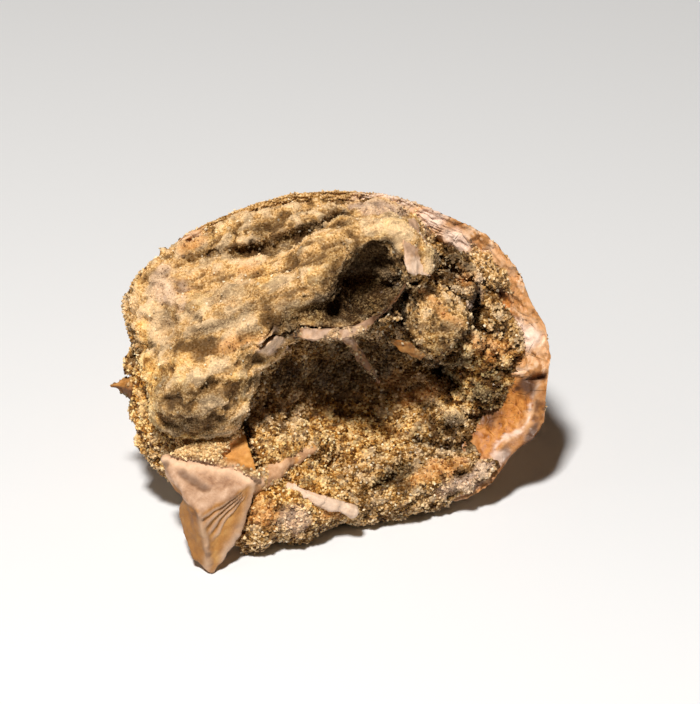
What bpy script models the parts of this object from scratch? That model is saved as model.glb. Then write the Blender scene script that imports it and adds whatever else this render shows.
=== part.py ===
"""A fossil mosasaur tooth lying on its side.

The hollow crown has snapped off its root. Cemented sand fills the pulp cavity and stands out of the
broken end as a hood over a bowl, with splinters of the tooth wall caught in it.

Shapes are worked out in millimetres in the break frame, which faces out of the broken end: u runs to
the right, v up the break and w out of it. The empty "break_face" then stands that frame on the ground.
"""

import math

import bmesh
import bpy
from mathutils import Matrix, Vector, noise

MM = 0.001  # metres in a millimetre

# The break frame over the ground.
BREAK_FACES_UP = math.radians(30)  # how far the break frame's w axis is raised from level
BREAK_HEIGHT = 11.0  # the frame's origin above the ground
BREAK_Y = -11.8  # the frame's origin along the length of the whole fossil
BREAK_X = 0.2

# The crown, measured from the middle of its broken rim along the tooth's axis.
RIM_MIDDLE = (0.1, 0.12, 0.0)
CROWN_TILT = math.radians(12)  # between the tooth's axis and the break frame's w axis
CROWN_LENGTH = 36.0
RIM_HALF_WIDTH = 15.2
RIM_HALF_HEIGHT = 12.15
CROWN_FULLNESS = 0.78  # 1 is a straight cone, less is a fuller one
CROWN_HOOK = 5.5  # how far the tip bends back, to the right
CARINA_HEIGHT = 0.45  # the cutting ridges down both sides
CARINA_WIDTH = 0.16  # in radians round the crown
FACET_COUNT = 8
FACET_DEPTH = 0.3
WALL_AT_RIM = 1.75
WALL_SPREAD = 0.5  # how much thicker and thinner the wall is round the rim
WALL_GROWTH = 1.5  # over 1, the wall thickens late on its way to the tip
CAVITY_DEPTH = 21.0
CAVITY_END = 0.82  # of that depth, where the cavity closes bluntly
RECESS = 5.0  # how far back the wall is broken on the left and below
RECESS_FROM = math.radians(170)  # round the rim, counted from the right, over the top
RECESS_TO = math.radians(292)
RECESS_EASE = math.radians(14)
RIM_CHIP = 0.55  # how ragged the broken edge is
RIM_CHIP_LENGTH = 2.0
RIM_CHIP_ROUND = 6.0  # a larger ring through the noise gives more chips round the rim
RIM_CHIP_PLACE = (3.1, 0.0, 7.7)  # where in the noise that ring lies
RIM_FLAKES = ((-24, 9, 0.9), (-52, 14, 0.6), (20, 8, -0.3), (158, 12, 0.5))  # degrees, width, height
FLAKE_REACH = 5.0  # how far along the crown a lifted flake runs
CROWN_SEGMENTS = 64
CROWN_RINGS = 15
RINGS_TOWARD_TIP = 1.7  # over 1, the rings crowd toward the tip
FIRST_RING = 0.25  # an extra ring close behind the broken edge keeps it crisp
TIP_BLUNTNESS = 0.4
EDGE_RINGS = (0.85, 0.15)  # rings on the broken edge, as shares of the wall from outside in
CAVITY_RINGS = 8

GAP = 0.3  # clearance between the sand and every piece that it holds
CORE_DEPTH = 17.5
CORE_RINGS = 10
BARED_REACH = 7.5  # how deep the sand is bared where the wall is gone
BARED_WEAR = 0.5  # how far it has worn back from where the wall stood
SAND_VOXEL = 0.4
SAND_TRIANGLES = 4000
SAND_SMOOTHING = 4
LUMP_HEIGHT = 0.55
LUMP_LENGTH = 3.2
LUMP_PLACE = (11.0, 4.0, 2.0)  # where in the noise the sand lies
LEDGE_HEIGHT = 0.3
LEDGE_SPACING = 1.7
LEDGE_STRETCH = (3.0, 1.0, 1.5)  # ledges are drawn out along and into the sand
LEDGE_SLOPE = math.radians(-32)  # the sand's layers run down to the right

ROD_SIDES = 7
SHARP_ANGLE = math.radians(35)
SAND_LOOK = ((0.46, 0.31, 0.16), 0.95)  # colour and roughness
CROWN_LOOK = ((0.52, 0.27, 0.10), 0.3)
SPLINTER_LOOK = ((0.72, 0.48, 0.36), 0.4)


def lump(centre, radii, roll=0.0):
    """One ellipsoid of sand, or of hollow: its centre, its radii, and its turn about w in degrees."""
    return {"centre": centre, "radii": radii, "roll": roll}


# The sand that stands out of the break.
HOOD = (
    lump((-4.9, 3.0, 1.4), (9.8, 4.8, 6.8), roll=27),
    lump((-9.0, -1.4, 3.0), (4.5, 4.7, 6.0), roll=12),
    lump((-6.0, 1.4, 5.0), (5.4, 3.4, 4.0), roll=30),
    lump((-10.8, 3.7, 1.0), (3.9, 4.6, 4.2), roll=-20),
    lump((0.4, 6.0, 4.4), (5.6, 3.7, 4.2), roll=22),
    lump((4.1, 7.4, 4.6), (3.1, 2.3, 3.3), roll=-40),
    lump((1.0, 2.6, 5.0), (3.9, 1.5, 2.8), roll=6),
)
BAND = (
    lump((-6.6, 7.6, 0.6), (7.4, 2.7, 4.0), roll=28),
    lump((-1.6, 9.6, 0.8), (5.6, 2.1, 4.0), roll=8),
    lump((3.6, 9.6, 0.6), (3.6, 1.6, 3.4), roll=-14),
)
KNOB = (
    lump((7.0, 2.4, 0.8), (3.2, 2.5, 3.6), roll=-32),
    lump((6.2, 4.2, 0.6), (2.8, 1.8, 3.0), roll=-30),
    lump((8.7, 3.4, -1.2), (2.0, 1.9, 3.2), roll=-25),
)
APRON = (
    lump((-3.6, -7.0, -0.8), (3.8, 2.5, 3.3), roll=28),
    lump((-5.0, -5.5, -1.8), (2.8, 2.4, 2.8), roll=20),
)
BANK = (
    lump((11.4, 1.6, -3.2), (2.6, 4.6, 3.4), roll=8),
    lump((7.9, -7.4, -3.0), (5.2, 2.8, 3.0), roll=26),
    lump((-3.2, -10.1, 0.4), (4.6, 2.8, 3.2), roll=6),
    lump((-5.3, -10.7, 1.6), (2.2, 2.9, 2.4), roll=-28),
    lump((2.8, -9.3, -1.8), (5.2, 2.5, 2.8), roll=6),
    lump((-11.5, -4.2, -1.4), (2.7, 5.2, 3.4), roll=18),
)

# The hollows in it.
BOWL = (
    lump((3.4, -2.2, 2.6), (7.6, 5.4, 7.4), roll=14),
    lump((7.4, -4.2, 3.4), (6.0, 4.4, 6.6), roll=24),
    lump((-2.0, -4.5, 3.6), (4.9, 3.5, 5.6), roll=34),
)
CAVE = (
    lump((2.9, 5.5, 7.4), (2.4, 2.7, 3.7), roll=-24),
    lump((0.9, 3.3, 8.3), (2.4, 0.9, 2.2), roll=14),
)
KNOB_RECESS = (lump((7.6, 5.6, 1.9), (2.2, 1.4, 3.0), roll=-32),)
WALL_WINDOW = (lump((11.2, -4.5, 0.2), (4.1, 2.1, 3.8), roll=51),)
GROOVE = (
    lump((-0.6, 9.7, 4.2), (2.2, 0.5, 1.3), roll=22),
    lump((-3.2, 8.6, 5.0), (2.4, 0.5, 1.4), roll=24),
    lump((-6.0, 7.75, 4.8), (2.4, 0.5, 1.4), roll=14),
    lump((-8.7, 7.1, 4.2), (2.2, 0.45, 1.3), roll=14),
)

# Splinters of the tooth wall, as corner points in the break frame.
CORNER_SPLINTER = (
    (-12.0, -6.6, 3.6),
    (-6.3, -4.5, 2.4),
    (-5.2, -8.2, 4.6),
    (-9.3, -10.7, 6.2),
    (-11.0, -10.8, 3.4),
    (-9.9, -13.8, 3.6),
    (-8.5, -15.1, 3.5),
    (-6.3, -11.6, 4.0),
    (-8.6, -7.0, 0.0),
    (-6.8, -11.4, 1.4),
    (-9.4, -12.0, 1.4),
)
CORNER_ARM = ((-6.0, -8.6, 3.8), (-3.9, -7.6, 2.9), (-1.3, -6.1, 1.7))
CORNER_ARM_RADII = (0.85, 0.62, 0.4)
FLOOR_SPLINTER = ((-3.2, -8.8, 2.6), (-1.0, -9.8, 2.5), (1.2, -10.5, 1.6))
FLOOR_SPLINTER_RADII = (0.3, 0.42, 0.36)
CAVE_LIP = (
    (-3.7, 2.1, 6.9),
    (-1.5, 1.75, 7.6),
    (0.6, 1.8, 7.7),
    (2.0, 2.3, 7.3),
    (3.4, 3.3, 6.8),
    (4.4, 4.4, 6.4),
    (4.9, 5.4, 6.2),
)
CAVE_LIP_THICKNESS = (0.8, 0.85, 0.8, 0.7, 0.5, 0.4, 0.4)
CAVE_LIP_DEPTH = 2.2
LIP_PRONG = ((0.8, 1.7, 6.8), (2.0, 0.0, 5.2), (3.1, -1.6, 3.2))
LIP_PRONG_RADII = (0.5, 0.42, 0.3)
HOOD_FLAKE = (
    (4.8, 9.4, 5.4),
    (5.5, 9.6, 5.2),
    (6.5, 7.4, 5.6),
    (6.5, 5.9, 5.8),
    (5.0, 6.2, 7.0),
    (4.7, 8.0, 6.9),
    (6.0, 6.4, 4.6),
    (5.6, 8.6, 4.4),
)
KNOB_SHARD = (
    (3.6, 1.5, 3.0),
    (5.2, 1.3, 4.2),
    (6.4, 0.3, 3.6),
    (6.0, -0.1, 2.8),
    (4.4, 0.6, 3.2),
    (4.8, 1.2, 2.0),
)
EDGE_CHIP = (
    (-15.8, -1.7, -1.0),
    (-15.0, -0.9, -0.4),
    (-14.2, -1.2, 0.4),
    (-14.3, -2.6, 0.2),
    (-15.2, -2.7, -0.6),
    (-14.4, -1.8, -2.0),
)


def smoothstep(low, high, x):
    """0 below low, 1 above high, and an easy curve between them."""
    share = min(1.0, max(0.0, (x - low) / (high - low)))
    return share * share * (3.0 - 2.0 * share)


def fractal(point, length, octaves=4):
    """Noise from about -1 to 1 whose largest features have this length."""
    return noise.fractal(point / length, 1.0, 2.0, octaves, noise_basis="PERLIN_ORIGINAL")


def clear_scene():
    for obj in list(bpy.data.objects):
        bpy.data.objects.remove(obj)


def object_from(bm, name):
    mesh = bpy.data.meshes.new(name)
    bm.to_mesh(mesh)
    bm.free()
    obj = bpy.data.objects.new(name, mesh)
    bpy.context.scene.collection.objects.link(obj)
    return obj


def bake_modifiers(obj):
    """Replaces the mesh by what its modifiers make of it, and drops them."""
    bpy.context.view_layer.update()
    graph = bpy.context.evaluated_depsgraph_get()
    baked = bpy.data.meshes.new_from_object(obj.evaluated_get(graph))
    obj.modifiers.clear()
    obj.data = baked


def remesh(obj, voxel):
    modifier = obj.modifiers.new("Remesh", "REMESH")
    modifier.mode = "VOXEL"
    modifier.voxel_size = voxel
    bake_modifiers(obj)


def combine(obj, other, operation):
    """A Boolean of the two, baked into the first. The second is used up."""
    modifier = obj.modifiers.new(operation.title(), "BOOLEAN")
    modifier.operation = operation
    modifier.solver = "EXACT"
    modifier.object = other
    bake_modifiers(obj)
    bpy.data.objects.remove(other)


def lumps_object(lumps, name, voxel):
    """All the lumps as one closed skin."""
    bm = bmesh.new()
    for one in lumps:
        place = Matrix.Translation(one["centre"])
        roll = Matrix.Rotation(math.radians(one["roll"]), 4, "Z")
        size = Matrix.Diagonal((*one["radii"], 1.0))
        bmesh.ops.create_icosphere(bm, subdivisions=2, radius=1.0, matrix=place @ roll @ size)
    obj = object_from(bm, name)
    remesh(obj, voxel)
    return obj


# ---------------------------------------------------------------- the crown


def wall_gone(angle):
    """1 where the wall is broken back and bares the sand, 0 where it reaches the rim."""
    angle %= 2 * math.pi
    gone = smoothstep(RECESS_FROM - RECESS_EASE, RECESS_FROM + RECESS_EASE, angle)
    return gone * (1.0 - smoothstep(RECESS_TO - RECESS_EASE, RECESS_TO + RECESS_EASE, angle))


def rim_recess(angle):
    """How far the broken edge lies behind the rim's plane at an angle round the rim."""
    round_rim = Vector((math.cos(angle), math.sin(angle), 0.0)) * RIM_CHIP_ROUND
    chip = RIM_CHIP * fractal(round_rim + Vector(RIM_CHIP_PLACE), RIM_CHIP_LENGTH)
    return RECESS * wall_gone(angle) + chip


def lifted_flake(depth, angle):
    """How far flakes of the wall stand out, or are missing, beside the rim."""
    lift = 0.0
    for at, width, height in RIM_FLAKES:
        away = (math.degrees(angle) - at + 180) % 360 - 180
        lift += height * math.exp(-((away / width) ** 2))
    return lift * (1.0 - smoothstep(0.0, FLAKE_REACH, depth))


def crown_point(depth, angle, inward=0.0):
    """A point of the crown's surface, depth along the axis from the rim, moved inward by a wall."""
    share = min(1.0, max(0.0, depth / CROWN_LENGTH))
    taper = max(0.0, 1.0 - share) ** CROWN_FULLNESS
    half_height = RIM_HALF_HEIGHT * taper
    belly = -RIM_HALF_HEIGHT * (1.0 - share)  # the underside is straight, so that it lies on the ground
    centre = Vector((CROWN_HOOK * share**2, belly + half_height))
    to_carina = min(angle % math.pi, math.pi - angle % math.pi)
    carina = CARINA_HEIGHT * math.exp(-((to_carina / CARINA_WIDTH) ** 2)) * taper**0.5
    facets = FACET_DEPTH * abs(math.sin(FACET_COUNT * angle / 2)) * taper
    relief = (carina - facets) * (1.0 - smoothstep(0.0, WALL_AT_RIM, inward))
    swell = relief + lifted_flake(depth, angle) - inward
    x = centre.x + math.cos(angle) * max(0.0, RIM_HALF_WIDTH * taper + swell)
    y = centre.y + math.sin(angle) * max(0.0, half_height + swell)
    return Vector((x, y, -depth))


def wall_at(depth, angle):
    """The wall's thickness, which grows from the rim until it closes the cavity."""
    rim = WALL_AT_RIM + WALL_SPREAD * math.sin(2 * angle + 0.8)
    share = min(1.0, max(0.0, depth / CAVITY_DEPTH))
    solid = RIM_HALF_HEIGHT * (1.0 - max(0.0, depth) / CROWN_LENGTH) ** CROWN_FULLNESS
    return rim + (solid - rim) * share**WALL_GROWTH


def loft(bm, rings, closed_start, closed_end):
    """Skins rings of points, and closes either end with a fan."""
    made = [[bm.verts.new(point) for point in ring] for ring in rings]
    count = len(made[0])
    for near, far in zip(made, made[1:]):
        for i in range(count):
            j = (i + 1) % count
            bm.faces.new((near[i], near[j], far[j], far[i]))
    for ring, wanted in ((made[0], closed_start), (made[-1], closed_end)):
        if wanted:
            middle = bm.verts.new(sum((v.co for v in ring), Vector()) / count)
            for i in range(count):
                bm.faces.new((ring[i], ring[(i + 1) % count], middle))


def crown_to_break():
    """Takes the crown's own frame into the break frame."""
    return Matrix.Translation(RIM_MIDDLE) @ Matrix.Rotation(CROWN_TILT, 4, "X")


def crown_bmesh(grow=0.0):
    """The crown in its own frame, z out of the break. A grown one is its own clearance cutter."""
    angles = [2 * math.pi * i / CROWN_SEGMENTS for i in range(CROWN_SEGMENTS)]
    rings = []
    for k in range(CAVITY_RINGS, 0, -1):
        share = CAVITY_END * k / CAVITY_RINGS
        ring = []
        for angle in angles:
            edge = rim_recess(angle) - grow
            depth = edge + (CAVITY_DEPTH - grow - edge) * share
            ring.append(crown_point(depth, angle, wall_at(depth, angle) + grow))
        rings.append(ring)
    for inner in EDGE_RINGS:
        ring = []
        for angle in angles:
            edge = rim_recess(angle) - grow
            inward = wall_at(edge, angle) * inner + grow * (2 * inner - 1)
            ring.append(crown_point(edge, angle, inward))
        rings.append(ring)
    for k in (FIRST_RING, *range(1, CROWN_RINGS + 1)):
        share = 1.0 - (1.0 - k / (CROWN_RINGS + TIP_BLUNTNESS)) ** RINGS_TOWARD_TIP
        ring = []
        for angle in angles:
            edge = rim_recess(angle) - grow
            depth = edge + (CROWN_LENGTH - edge) * share
            ring.append(crown_point(depth, angle, -grow))
        rings.append(ring)
    bm = bmesh.new()
    loft(bm, rings, closed_start=True, closed_end=True)
    bmesh.ops.recalc_face_normals(bm, faces=bm.faces)
    bm.transform(crown_to_break())
    return bm


def core_object():
    """The sand that fills the crown, bared as far as the outside where the wall is gone."""
    bm = bmesh.new()
    angles = [2 * math.pi * i / CROWN_SEGMENTS for i in range(CROWN_SEGMENTS)]
    rings = []
    for k in range(CORE_RINGS):
        depth = CORE_DEPTH * k / (CORE_RINGS - 1)
        ring = []
        for angle in angles:
            bared = wall_gone(angle) * (1.0 - smoothstep(RECESS, BARED_REACH, depth))
            inward = wall_at(depth, angle) * (1.0 - bared) + BARED_WEAR * bared
            ring.append(crown_point(depth, angle, inward))
        rings.append(ring)
    loft(bm, rings, closed_start=True, closed_end=True)
    bmesh.ops.recalc_face_normals(bm, faces=bm.faces)
    bm.transform(crown_to_break())
    return object_from(bm, "core")


# ---------------------------------------------------------------- the splinters


def hull_bmesh(points, grow=0.0):
    """A flat-faced splinter: the hull of its corners, or of a small cube at each to grow it."""
    bm = bmesh.new()
    steps = (-grow, grow) if grow else (0.0,)
    for point in points:
        for x in steps:
            for y in steps:
                for z in steps:
                    bm.verts.new(Vector(point) + Vector((x, y, z)))
    hull = bmesh.ops.convex_hull(bm, input=bm.verts)
    unused = {g for g in hull["geom_interior"] + hull["geom_unused"] if isinstance(g, bmesh.types.BMVert)}
    bmesh.ops.delete(bm, geom=list(unused), context="VERTS")
    bmesh.ops.recalc_face_normals(bm, faces=bm.faces)
    return bm


def rod_bmesh(path, radii, grow=0.0):
    """A splinter like a little bone: rings round a path, with blunt ends."""
    points = [Vector(p) for p in path]
    bm = bmesh.new()
    rings = []
    for i, point in enumerate(points):
        along = (points[min(i + 1, len(points) - 1)] - points[max(i - 1, 0)]).normalized()
        side = along.cross(Vector((0, 0, 1))).normalized()
        up = side.cross(along)
        end = grow * ((i == len(points) - 1) - (i == 0))
        radius = radii[i] + grow
        ring = []
        for k in range(ROD_SIDES):
            turn = 2 * math.pi * k / ROD_SIDES
            ring.append(point + along * end + (side * math.cos(turn) + up * math.sin(turn)) * radius)
        rings.append(ring)
    loft(bm, rings, closed_start=True, closed_end=True)
    bmesh.ops.recalc_face_normals(bm, faces=bm.faces)
    return bm


def lip_bmesh(grow=0.0):
    """The thin wall that lines the cave, standing on edge: a strip along a path, going back into w."""
    points = [Vector(p) for p in CAVE_LIP]
    bm = bmesh.new()
    rings = []
    for i, point in enumerate(points):
        along = points[min(i + 1, len(points) - 1)] - points[max(i - 1, 0)]
        along = Vector((along.x, along.y, 0)).normalized()
        half = Vector((-along.y, along.x, 0)) * (CAVE_LIP_THICKNESS[i] / 2 + grow)
        end = along * grow * ((i == len(points) - 1) - (i == 0))
        back = Vector((0, 0, -CAVE_LIP_DEPTH - grow))
        front = Vector((0, 0, grow))
        rings.append([point + end + corner for corner in (half + front, front - half, back - half, half + back)])
    loft(bm, rings, closed_start=True, closed_end=True)
    bmesh.ops.recalc_face_normals(bm, faces=bm.faces)
    return bm


def splinter_object(name, grow=0.0):
    """One splinter by its name. A grown one cuts its pocket in the sand."""
    if name in HULLS:
        obj = object_from(hull_bmesh(HULLS[name], grow), name)
    elif name == "cave_lining":
        obj = object_from(lip_bmesh(grow), name)
    else:
        obj = object_from(rod_bmesh(FLOOR_SPLINTER, FLOOR_SPLINTER_RADII, grow), name)
    if name in ARMS:
        path, radii = ARMS[name]
        combine(obj, object_from(rod_bmesh(path, radii, grow), name + "_arm"), "UNION")
    return obj


HULLS = {
    "corner_splinter": CORNER_SPLINTER,
    "hood_flake": HOOD_FLAKE,
    "knob_shard": KNOB_SHARD,
    "edge_chip": EDGE_CHIP,
}
ARMS = {
    "corner_splinter": (CORNER_ARM, CORNER_ARM_RADII),
    "cave_lining": (LIP_PRONG, LIP_PRONG_RADII),
}
SPLINTERS = ("corner_splinter", "cave_lining", "floor_splinter", "hood_flake", "knob_shard", "edge_chip")


# ---------------------------------------------------------------- the sand


def height_above_ground(point):
    """World height of a point of the break frame."""
    rise = Vector((0.0, math.cos(BREAK_FACES_UP), math.sin(BREAK_FACES_UP)))
    return BREAK_HEIGHT + point.dot(rise)


def rest_on_ground(obj):
    """Flattens whatever would reach under the ground, so that the piece lies on it."""
    rise = Vector((0.0, math.cos(BREAK_FACES_UP), math.sin(BREAK_FACES_UP)))
    for vertex in obj.data.vertices:
        height = height_above_ground(vertex.co)
        if height < 0.0:
            vertex.co -= rise * height


def weather(obj):
    """Lumps and ledges over the sand's skin."""
    bm = bmesh.new()
    bm.from_mesh(obj.data)
    bm.normal_update()
    to_layers = Matrix.Rotation(-LEDGE_SLOPE, 3, "Z")
    moves = []
    for vertex in bm.verts:
        lumps = fractal(vertex.co + Vector(LUMP_PLACE), LUMP_LENGTH)
        across = to_layers @ vertex.co
        squeezed = Vector(x / stretch for x, stretch in zip(across, LEDGE_STRETCH))
        ledges = fractal(squeezed, LEDGE_SPACING, 2)
        moves.append(vertex.normal * (LUMP_HEIGHT * lumps + LEDGE_HEIGHT * ledges))
    for vertex, move in zip(bm.verts, moves):
        vertex.co += move
    bm.to_mesh(obj.data)
    bm.free()


def decimate(obj, triangles):
    obj.data.calc_loop_triangles()
    modifier = obj.modifiers.new("Decimate", "DECIMATE")
    modifier.ratio = triangles / len(obj.data.loop_triangles)
    modifier.use_collapse_triangulate = True
    bake_modifiers(obj)


def keep_largest_body(obj):
    """Drops the crumbs that a cut leaves loose."""
    bm = bmesh.new()
    bm.from_mesh(obj.data)
    left = set(bm.verts)
    bodies = []
    while left:
        start = left.pop()
        body, edge = {start}, [start]
        while edge:
            vertex = edge.pop()
            for link in vertex.link_edges:
                other = link.other_vert(vertex)
                if other in left:
                    left.discard(other)
                    body.add(other)
                    edge.append(other)
        bodies.append(body)
    largest = max(bodies, key=len)
    loose = [v for v in bm.verts if v not in largest]
    bmesh.ops.delete(bm, geom=loose, context="VERTS")
    bm.to_mesh(obj.data)
    bm.free()


def make_sand():
    """Core and hood fused, the hollows cut out, the knob and apron set in them, then the skin weathered."""
    sand = core_object()
    combine(sand, lumps_object(HOOD + BAND + BANK, "heap", SAND_VOXEL), "UNION")
    remesh(sand, SAND_VOXEL)
    for hollow in (BOWL, CAVE, KNOB_RECESS, WALL_WINDOW, GROOVE):
        combine(sand, lumps_object(hollow, "hollow", SAND_VOXEL), "DIFFERENCE")
    combine(sand, lumps_object(KNOB + APRON, "knob", SAND_VOXEL), "UNION")
    remesh(sand, SAND_VOXEL)
    smooth = sand.modifiers.new("Smooth", "SMOOTH")
    smooth.iterations = SAND_SMOOTHING
    bake_modifiers(sand)
    weather(sand)
    decimate(sand, SAND_TRIANGLES)
    rest_on_ground(sand)
    combine(sand, object_from(crown_bmesh(grow=GAP), "crown_clearance"), "DIFFERENCE")
    for name in SPLINTERS:
        combine(sand, splinter_object(name, grow=GAP), "DIFFERENCE")
    keep_largest_body(sand)
    sand.name = "sand_fill"
    return sand


# ---------------------------------------------------------------- finishing


def finish(obj, name, look, parent):
    """Names a piece, gives it its colour and roughness, and places it in metres under the break frame."""
    colour, roughness = look
    obj.name = name
    obj.data.name = name
    obj.data.transform(Matrix.Scale(MM, 4))
    surface = bpy.data.materials.new(name)
    surface.use_nodes = True
    shader = surface.node_tree.nodes["Principled BSDF"]
    shader.inputs["Base Color"].default_value = (*colour, 1.0)
    shader.inputs["Roughness"].default_value = roughness
    shader.inputs["Metallic"].default_value = 0.0
    obj.data.materials.clear()
    obj.data.materials.append(surface)
    obj.data.shade_smooth()
    obj.data.set_sharp_from_angle(angle=SHARP_ANGLE)
    obj.parent = parent


def main():
    clear_scene()
    break_face = bpy.data.objects.new("break_face", None)
    bpy.context.scene.collection.objects.link(break_face)
    break_face.location = Vector((BREAK_X, BREAK_Y, BREAK_HEIGHT)) * MM
    break_face.rotation_euler = (math.pi / 2 - BREAK_FACES_UP, 0.0, 0.0)

    sand = make_sand()
    crown = object_from(crown_bmesh(), "tooth_crown")
    rest_on_ground(crown)
    splinters = {name: splinter_object(name) for name in SPLINTERS}
    rest_on_ground(splinters["corner_splinter"])

    finish(sand, "sand_fill", SAND_LOOK, break_face)
    finish(crown, "tooth_crown", CROWN_LOOK, break_face)
    for name, obj in splinters.items():
        finish(obj, name, SPLINTER_LOOK, break_face)


main()
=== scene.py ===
"""Looks for the fossil mosasaur tooth: crown, cemented sand, loose grains and splinters of wall.

Every piece is shaped in millimetres in the break frame, which faces out of the tooth's broken end:
u runs to the right, v up the break and w out of it. TO_WORLD then stands it on the ground.
Colours, painted shade and painted light are painted as soft masks on the vertices, and each finish mixes its
tones from them.
"""

import math

import bmesh
import bpy
import numpy as np
from mathutils import Matrix, Vector, bvhtree, kdtree, noise


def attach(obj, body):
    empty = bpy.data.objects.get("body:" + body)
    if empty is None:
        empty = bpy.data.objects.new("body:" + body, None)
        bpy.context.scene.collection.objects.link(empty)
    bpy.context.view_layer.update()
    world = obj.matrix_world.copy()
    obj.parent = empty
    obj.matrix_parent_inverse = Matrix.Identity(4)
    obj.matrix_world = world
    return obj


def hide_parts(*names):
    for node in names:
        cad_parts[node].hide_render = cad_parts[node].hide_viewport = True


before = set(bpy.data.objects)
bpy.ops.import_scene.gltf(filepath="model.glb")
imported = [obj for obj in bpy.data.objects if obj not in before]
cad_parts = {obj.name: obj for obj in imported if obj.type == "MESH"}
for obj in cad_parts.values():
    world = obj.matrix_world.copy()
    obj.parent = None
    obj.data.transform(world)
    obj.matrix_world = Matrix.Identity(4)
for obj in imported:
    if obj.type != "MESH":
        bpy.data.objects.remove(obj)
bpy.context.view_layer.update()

MM = 0.001  # metres in a millimetre

# The break frame over the ground.
BREAK_ORIGIN = Vector((0.2, -11.8, 11.0))
BREAK_LEAN = math.radians(60)
TO_WORLD = (
    Matrix.Translation(BREAK_ORIGIN * MM) @ Matrix.Rotation(BREAK_LEAN, 4, "X") @ Matrix.Scale(MM, 4)
)
TO_BREAK = TO_WORLD.inverted()

# The crown, as in the part's source.
RIM_MIDDLE = Vector((0.1, 0.12, 0.0))
CROWN_TILT = math.radians(12)
CROWN_LENGTH = 36.0
RIM_HALF_WIDTH = 15.2
RIM_HALF_HEIGHT = 12.15
CROWN_FULLNESS = 0.78
CROWN_HOOK = 5.5
CARINA_HEIGHT = 0.45
CARINA_WIDTH = 0.16
CUTTING_EDGE = (0.16, 0.03)  # its height, and its width in radians
SERRATION = (0.22, 9.0)  # the depth of its teeth as a share, and how closely they follow
FACET_COUNT = 8
FACET_DEPTH = 0.3
WALL_AT_RIM = 1.75
WALL_SPREAD = 0.5
WALL_GROWTH = 1.5
CAVITY_DEPTH = 21.0
CAVITY_END = 0.82
RECESS = 5.0
RECESS_FROM = math.radians(170)
RECESS_TO = math.radians(292)
RECESS_EASE = math.radians(14)
RIM_CHIP = 0.55
RIM_CHIP_LENGTH = 2.0
RIM_CHIP_ROUND = 6.0
RIM_CHIP_PLACE = (3.1, 0.0, 7.7)
RIM_FLAKES = ((-24, 9, 0.9), (-52, 14, 0.6), (20, 8, -0.3), (158, 12, 0.5))  # degrees, width, height
FLAKE_REACH = 5.0
CROWN_TO_BREAK = Matrix.Translation(RIM_MIDDLE) @ Matrix.Rotation(CROWN_TILT, 4, "X")

# Skins that reach further than this to the right or up are drawn in by a share of the rest.
FREE_REACH = (14.7, 11.55)
DRAWN_IN = 0.65

# How finely the crown is skinned.
ROUND_CROWN = 480
INSIDE_RINGS = 22
EDGE_RINGS = 26
OUTSIDE_RINGS = 104
RINGS_TOWARD_RIM = 1.35

# The crown's broken edge.
EDGE_SLANT = 0.5  # it falls inward by this much
BARED_SLANT = 2.2  # and by so much more where the bowl bares the wall's inside
BARED_EXTRA = 1.7
BARED_FROM = (-54.0, -38.0)  # degrees round the rim, from the right: where that begins to show
BARED_TO = (-14.0, -6.0)  # and where it ends
SAND_OVER_RIM = (64.0, 138.0, 6.0)  # sand hides the rim from and to these degrees, and its soft ends
THIN_SAND = (18.0, 42.0, 4.0)  # the same for a thin scatter of sand
# Bare orange wall in a notch of the edge, as an outline of (u, v) corners.
ORANGE_HOLLOW = ((11.1, 3.1), (12.1, 2.9), (12.4, 3.9), (11.9, 5.0), (11.2, 4.8))
# Stains on the wall, as (u, v), radii and turn. The dark ones are partly stains and partly painted shade in
# gaps and under ledges.
WHITE_ON_WALL = (
    ((6.8, 9.9), (1.2, 0.9), -20),
    ((8.6, 8.4), (1.6, 0.7), -35),
    ((12.7, 2.0), (1.5, 1.0), -35),
    ((13.7, 1.6), (0.9, 1.0), 0),
    # Partly painted light: this one makes the lit top edge paler.
    ((3.8, 11.2), (3.2, 0.8), 0),
    ((11.6, -6.9), (1.1, 0.5), 45),
    ((9.7, -8.6), (1.2, 0.55), 45),
    ((-12.2, 6.2), (1.4, 0.5), 52),
)
STAIN_AND_SHADE_ON_WALL = (
    ((10.9, -3.9), (1.2, 1.1), 0),
    ((13.9, -5.1), (1.4, 0.4), 60),
    ((10.4, -8.2), (0.6, 0.3), 45),
    ((14.6, -1.2), (0.6, 0.3), 10),
    ((11.6, 4.9), (0.35, 0.9), 25),
    ((12.9, -2.0), (0.5, 0.25), 20),
    ((13.6, -1.9), (1.0, 1.0), 0),
    ((10.4, -3.5), (1.0, 1.5), -35),
)
# Bites out of the broken edge, as (u, v), radii, turn and depth.
BITES = (
    ((11.8, 4.1), (0.75, 1.1), 15, 0.9),
    ((14.4, -1.2), (0.7, 0.3), 10, 1.3),
    ((10.4, 7.7), (0.9, 0.5), -50, 0.6),
    ((12.6, 5.9), (0.5, 0.5), 0, 0.4),
    ((14.2, -4.2), (0.6, 0.9), 0, 0.5),
    ((12.8, -7.2), (0.7, 0.5), 40, 0.5),
    ((10.2, -9.0), (0.7, 0.4), 45, 0.5),
    ((8.4, 9.2), (0.6, 0.4), -30, 0.4),
)

# The sand.
HIDDEN_CORE = 6.3  # the core ends here, out of sight inside the crown
HIDDEN_SLANT = math.radians(10)  # and deeper on the left and below, where the wall is gone
HIDDEN_THINNED = 0.72  # share of the faces that is left once the hidden ones are thinned
SAND_VOXEL = 0.17
FILL_REACH = 0.5  # sand this close to a hard piece is pressed against it
FILL_OVERLAP = 0.06
SEEN_DEPTH = (0.8, 7.0)  # sand is in sight this far down the wall, and so much further where the wall is gone
SEEN_INSIDE = (13.2, 10.2)  # and inside an ellipse of this half width and half height
BEDDING = 20.0  # degrees that the hood's layers rise to the right
RIGHT_BEDDING = -34.0  # and those of the bank beside the right wall
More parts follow.
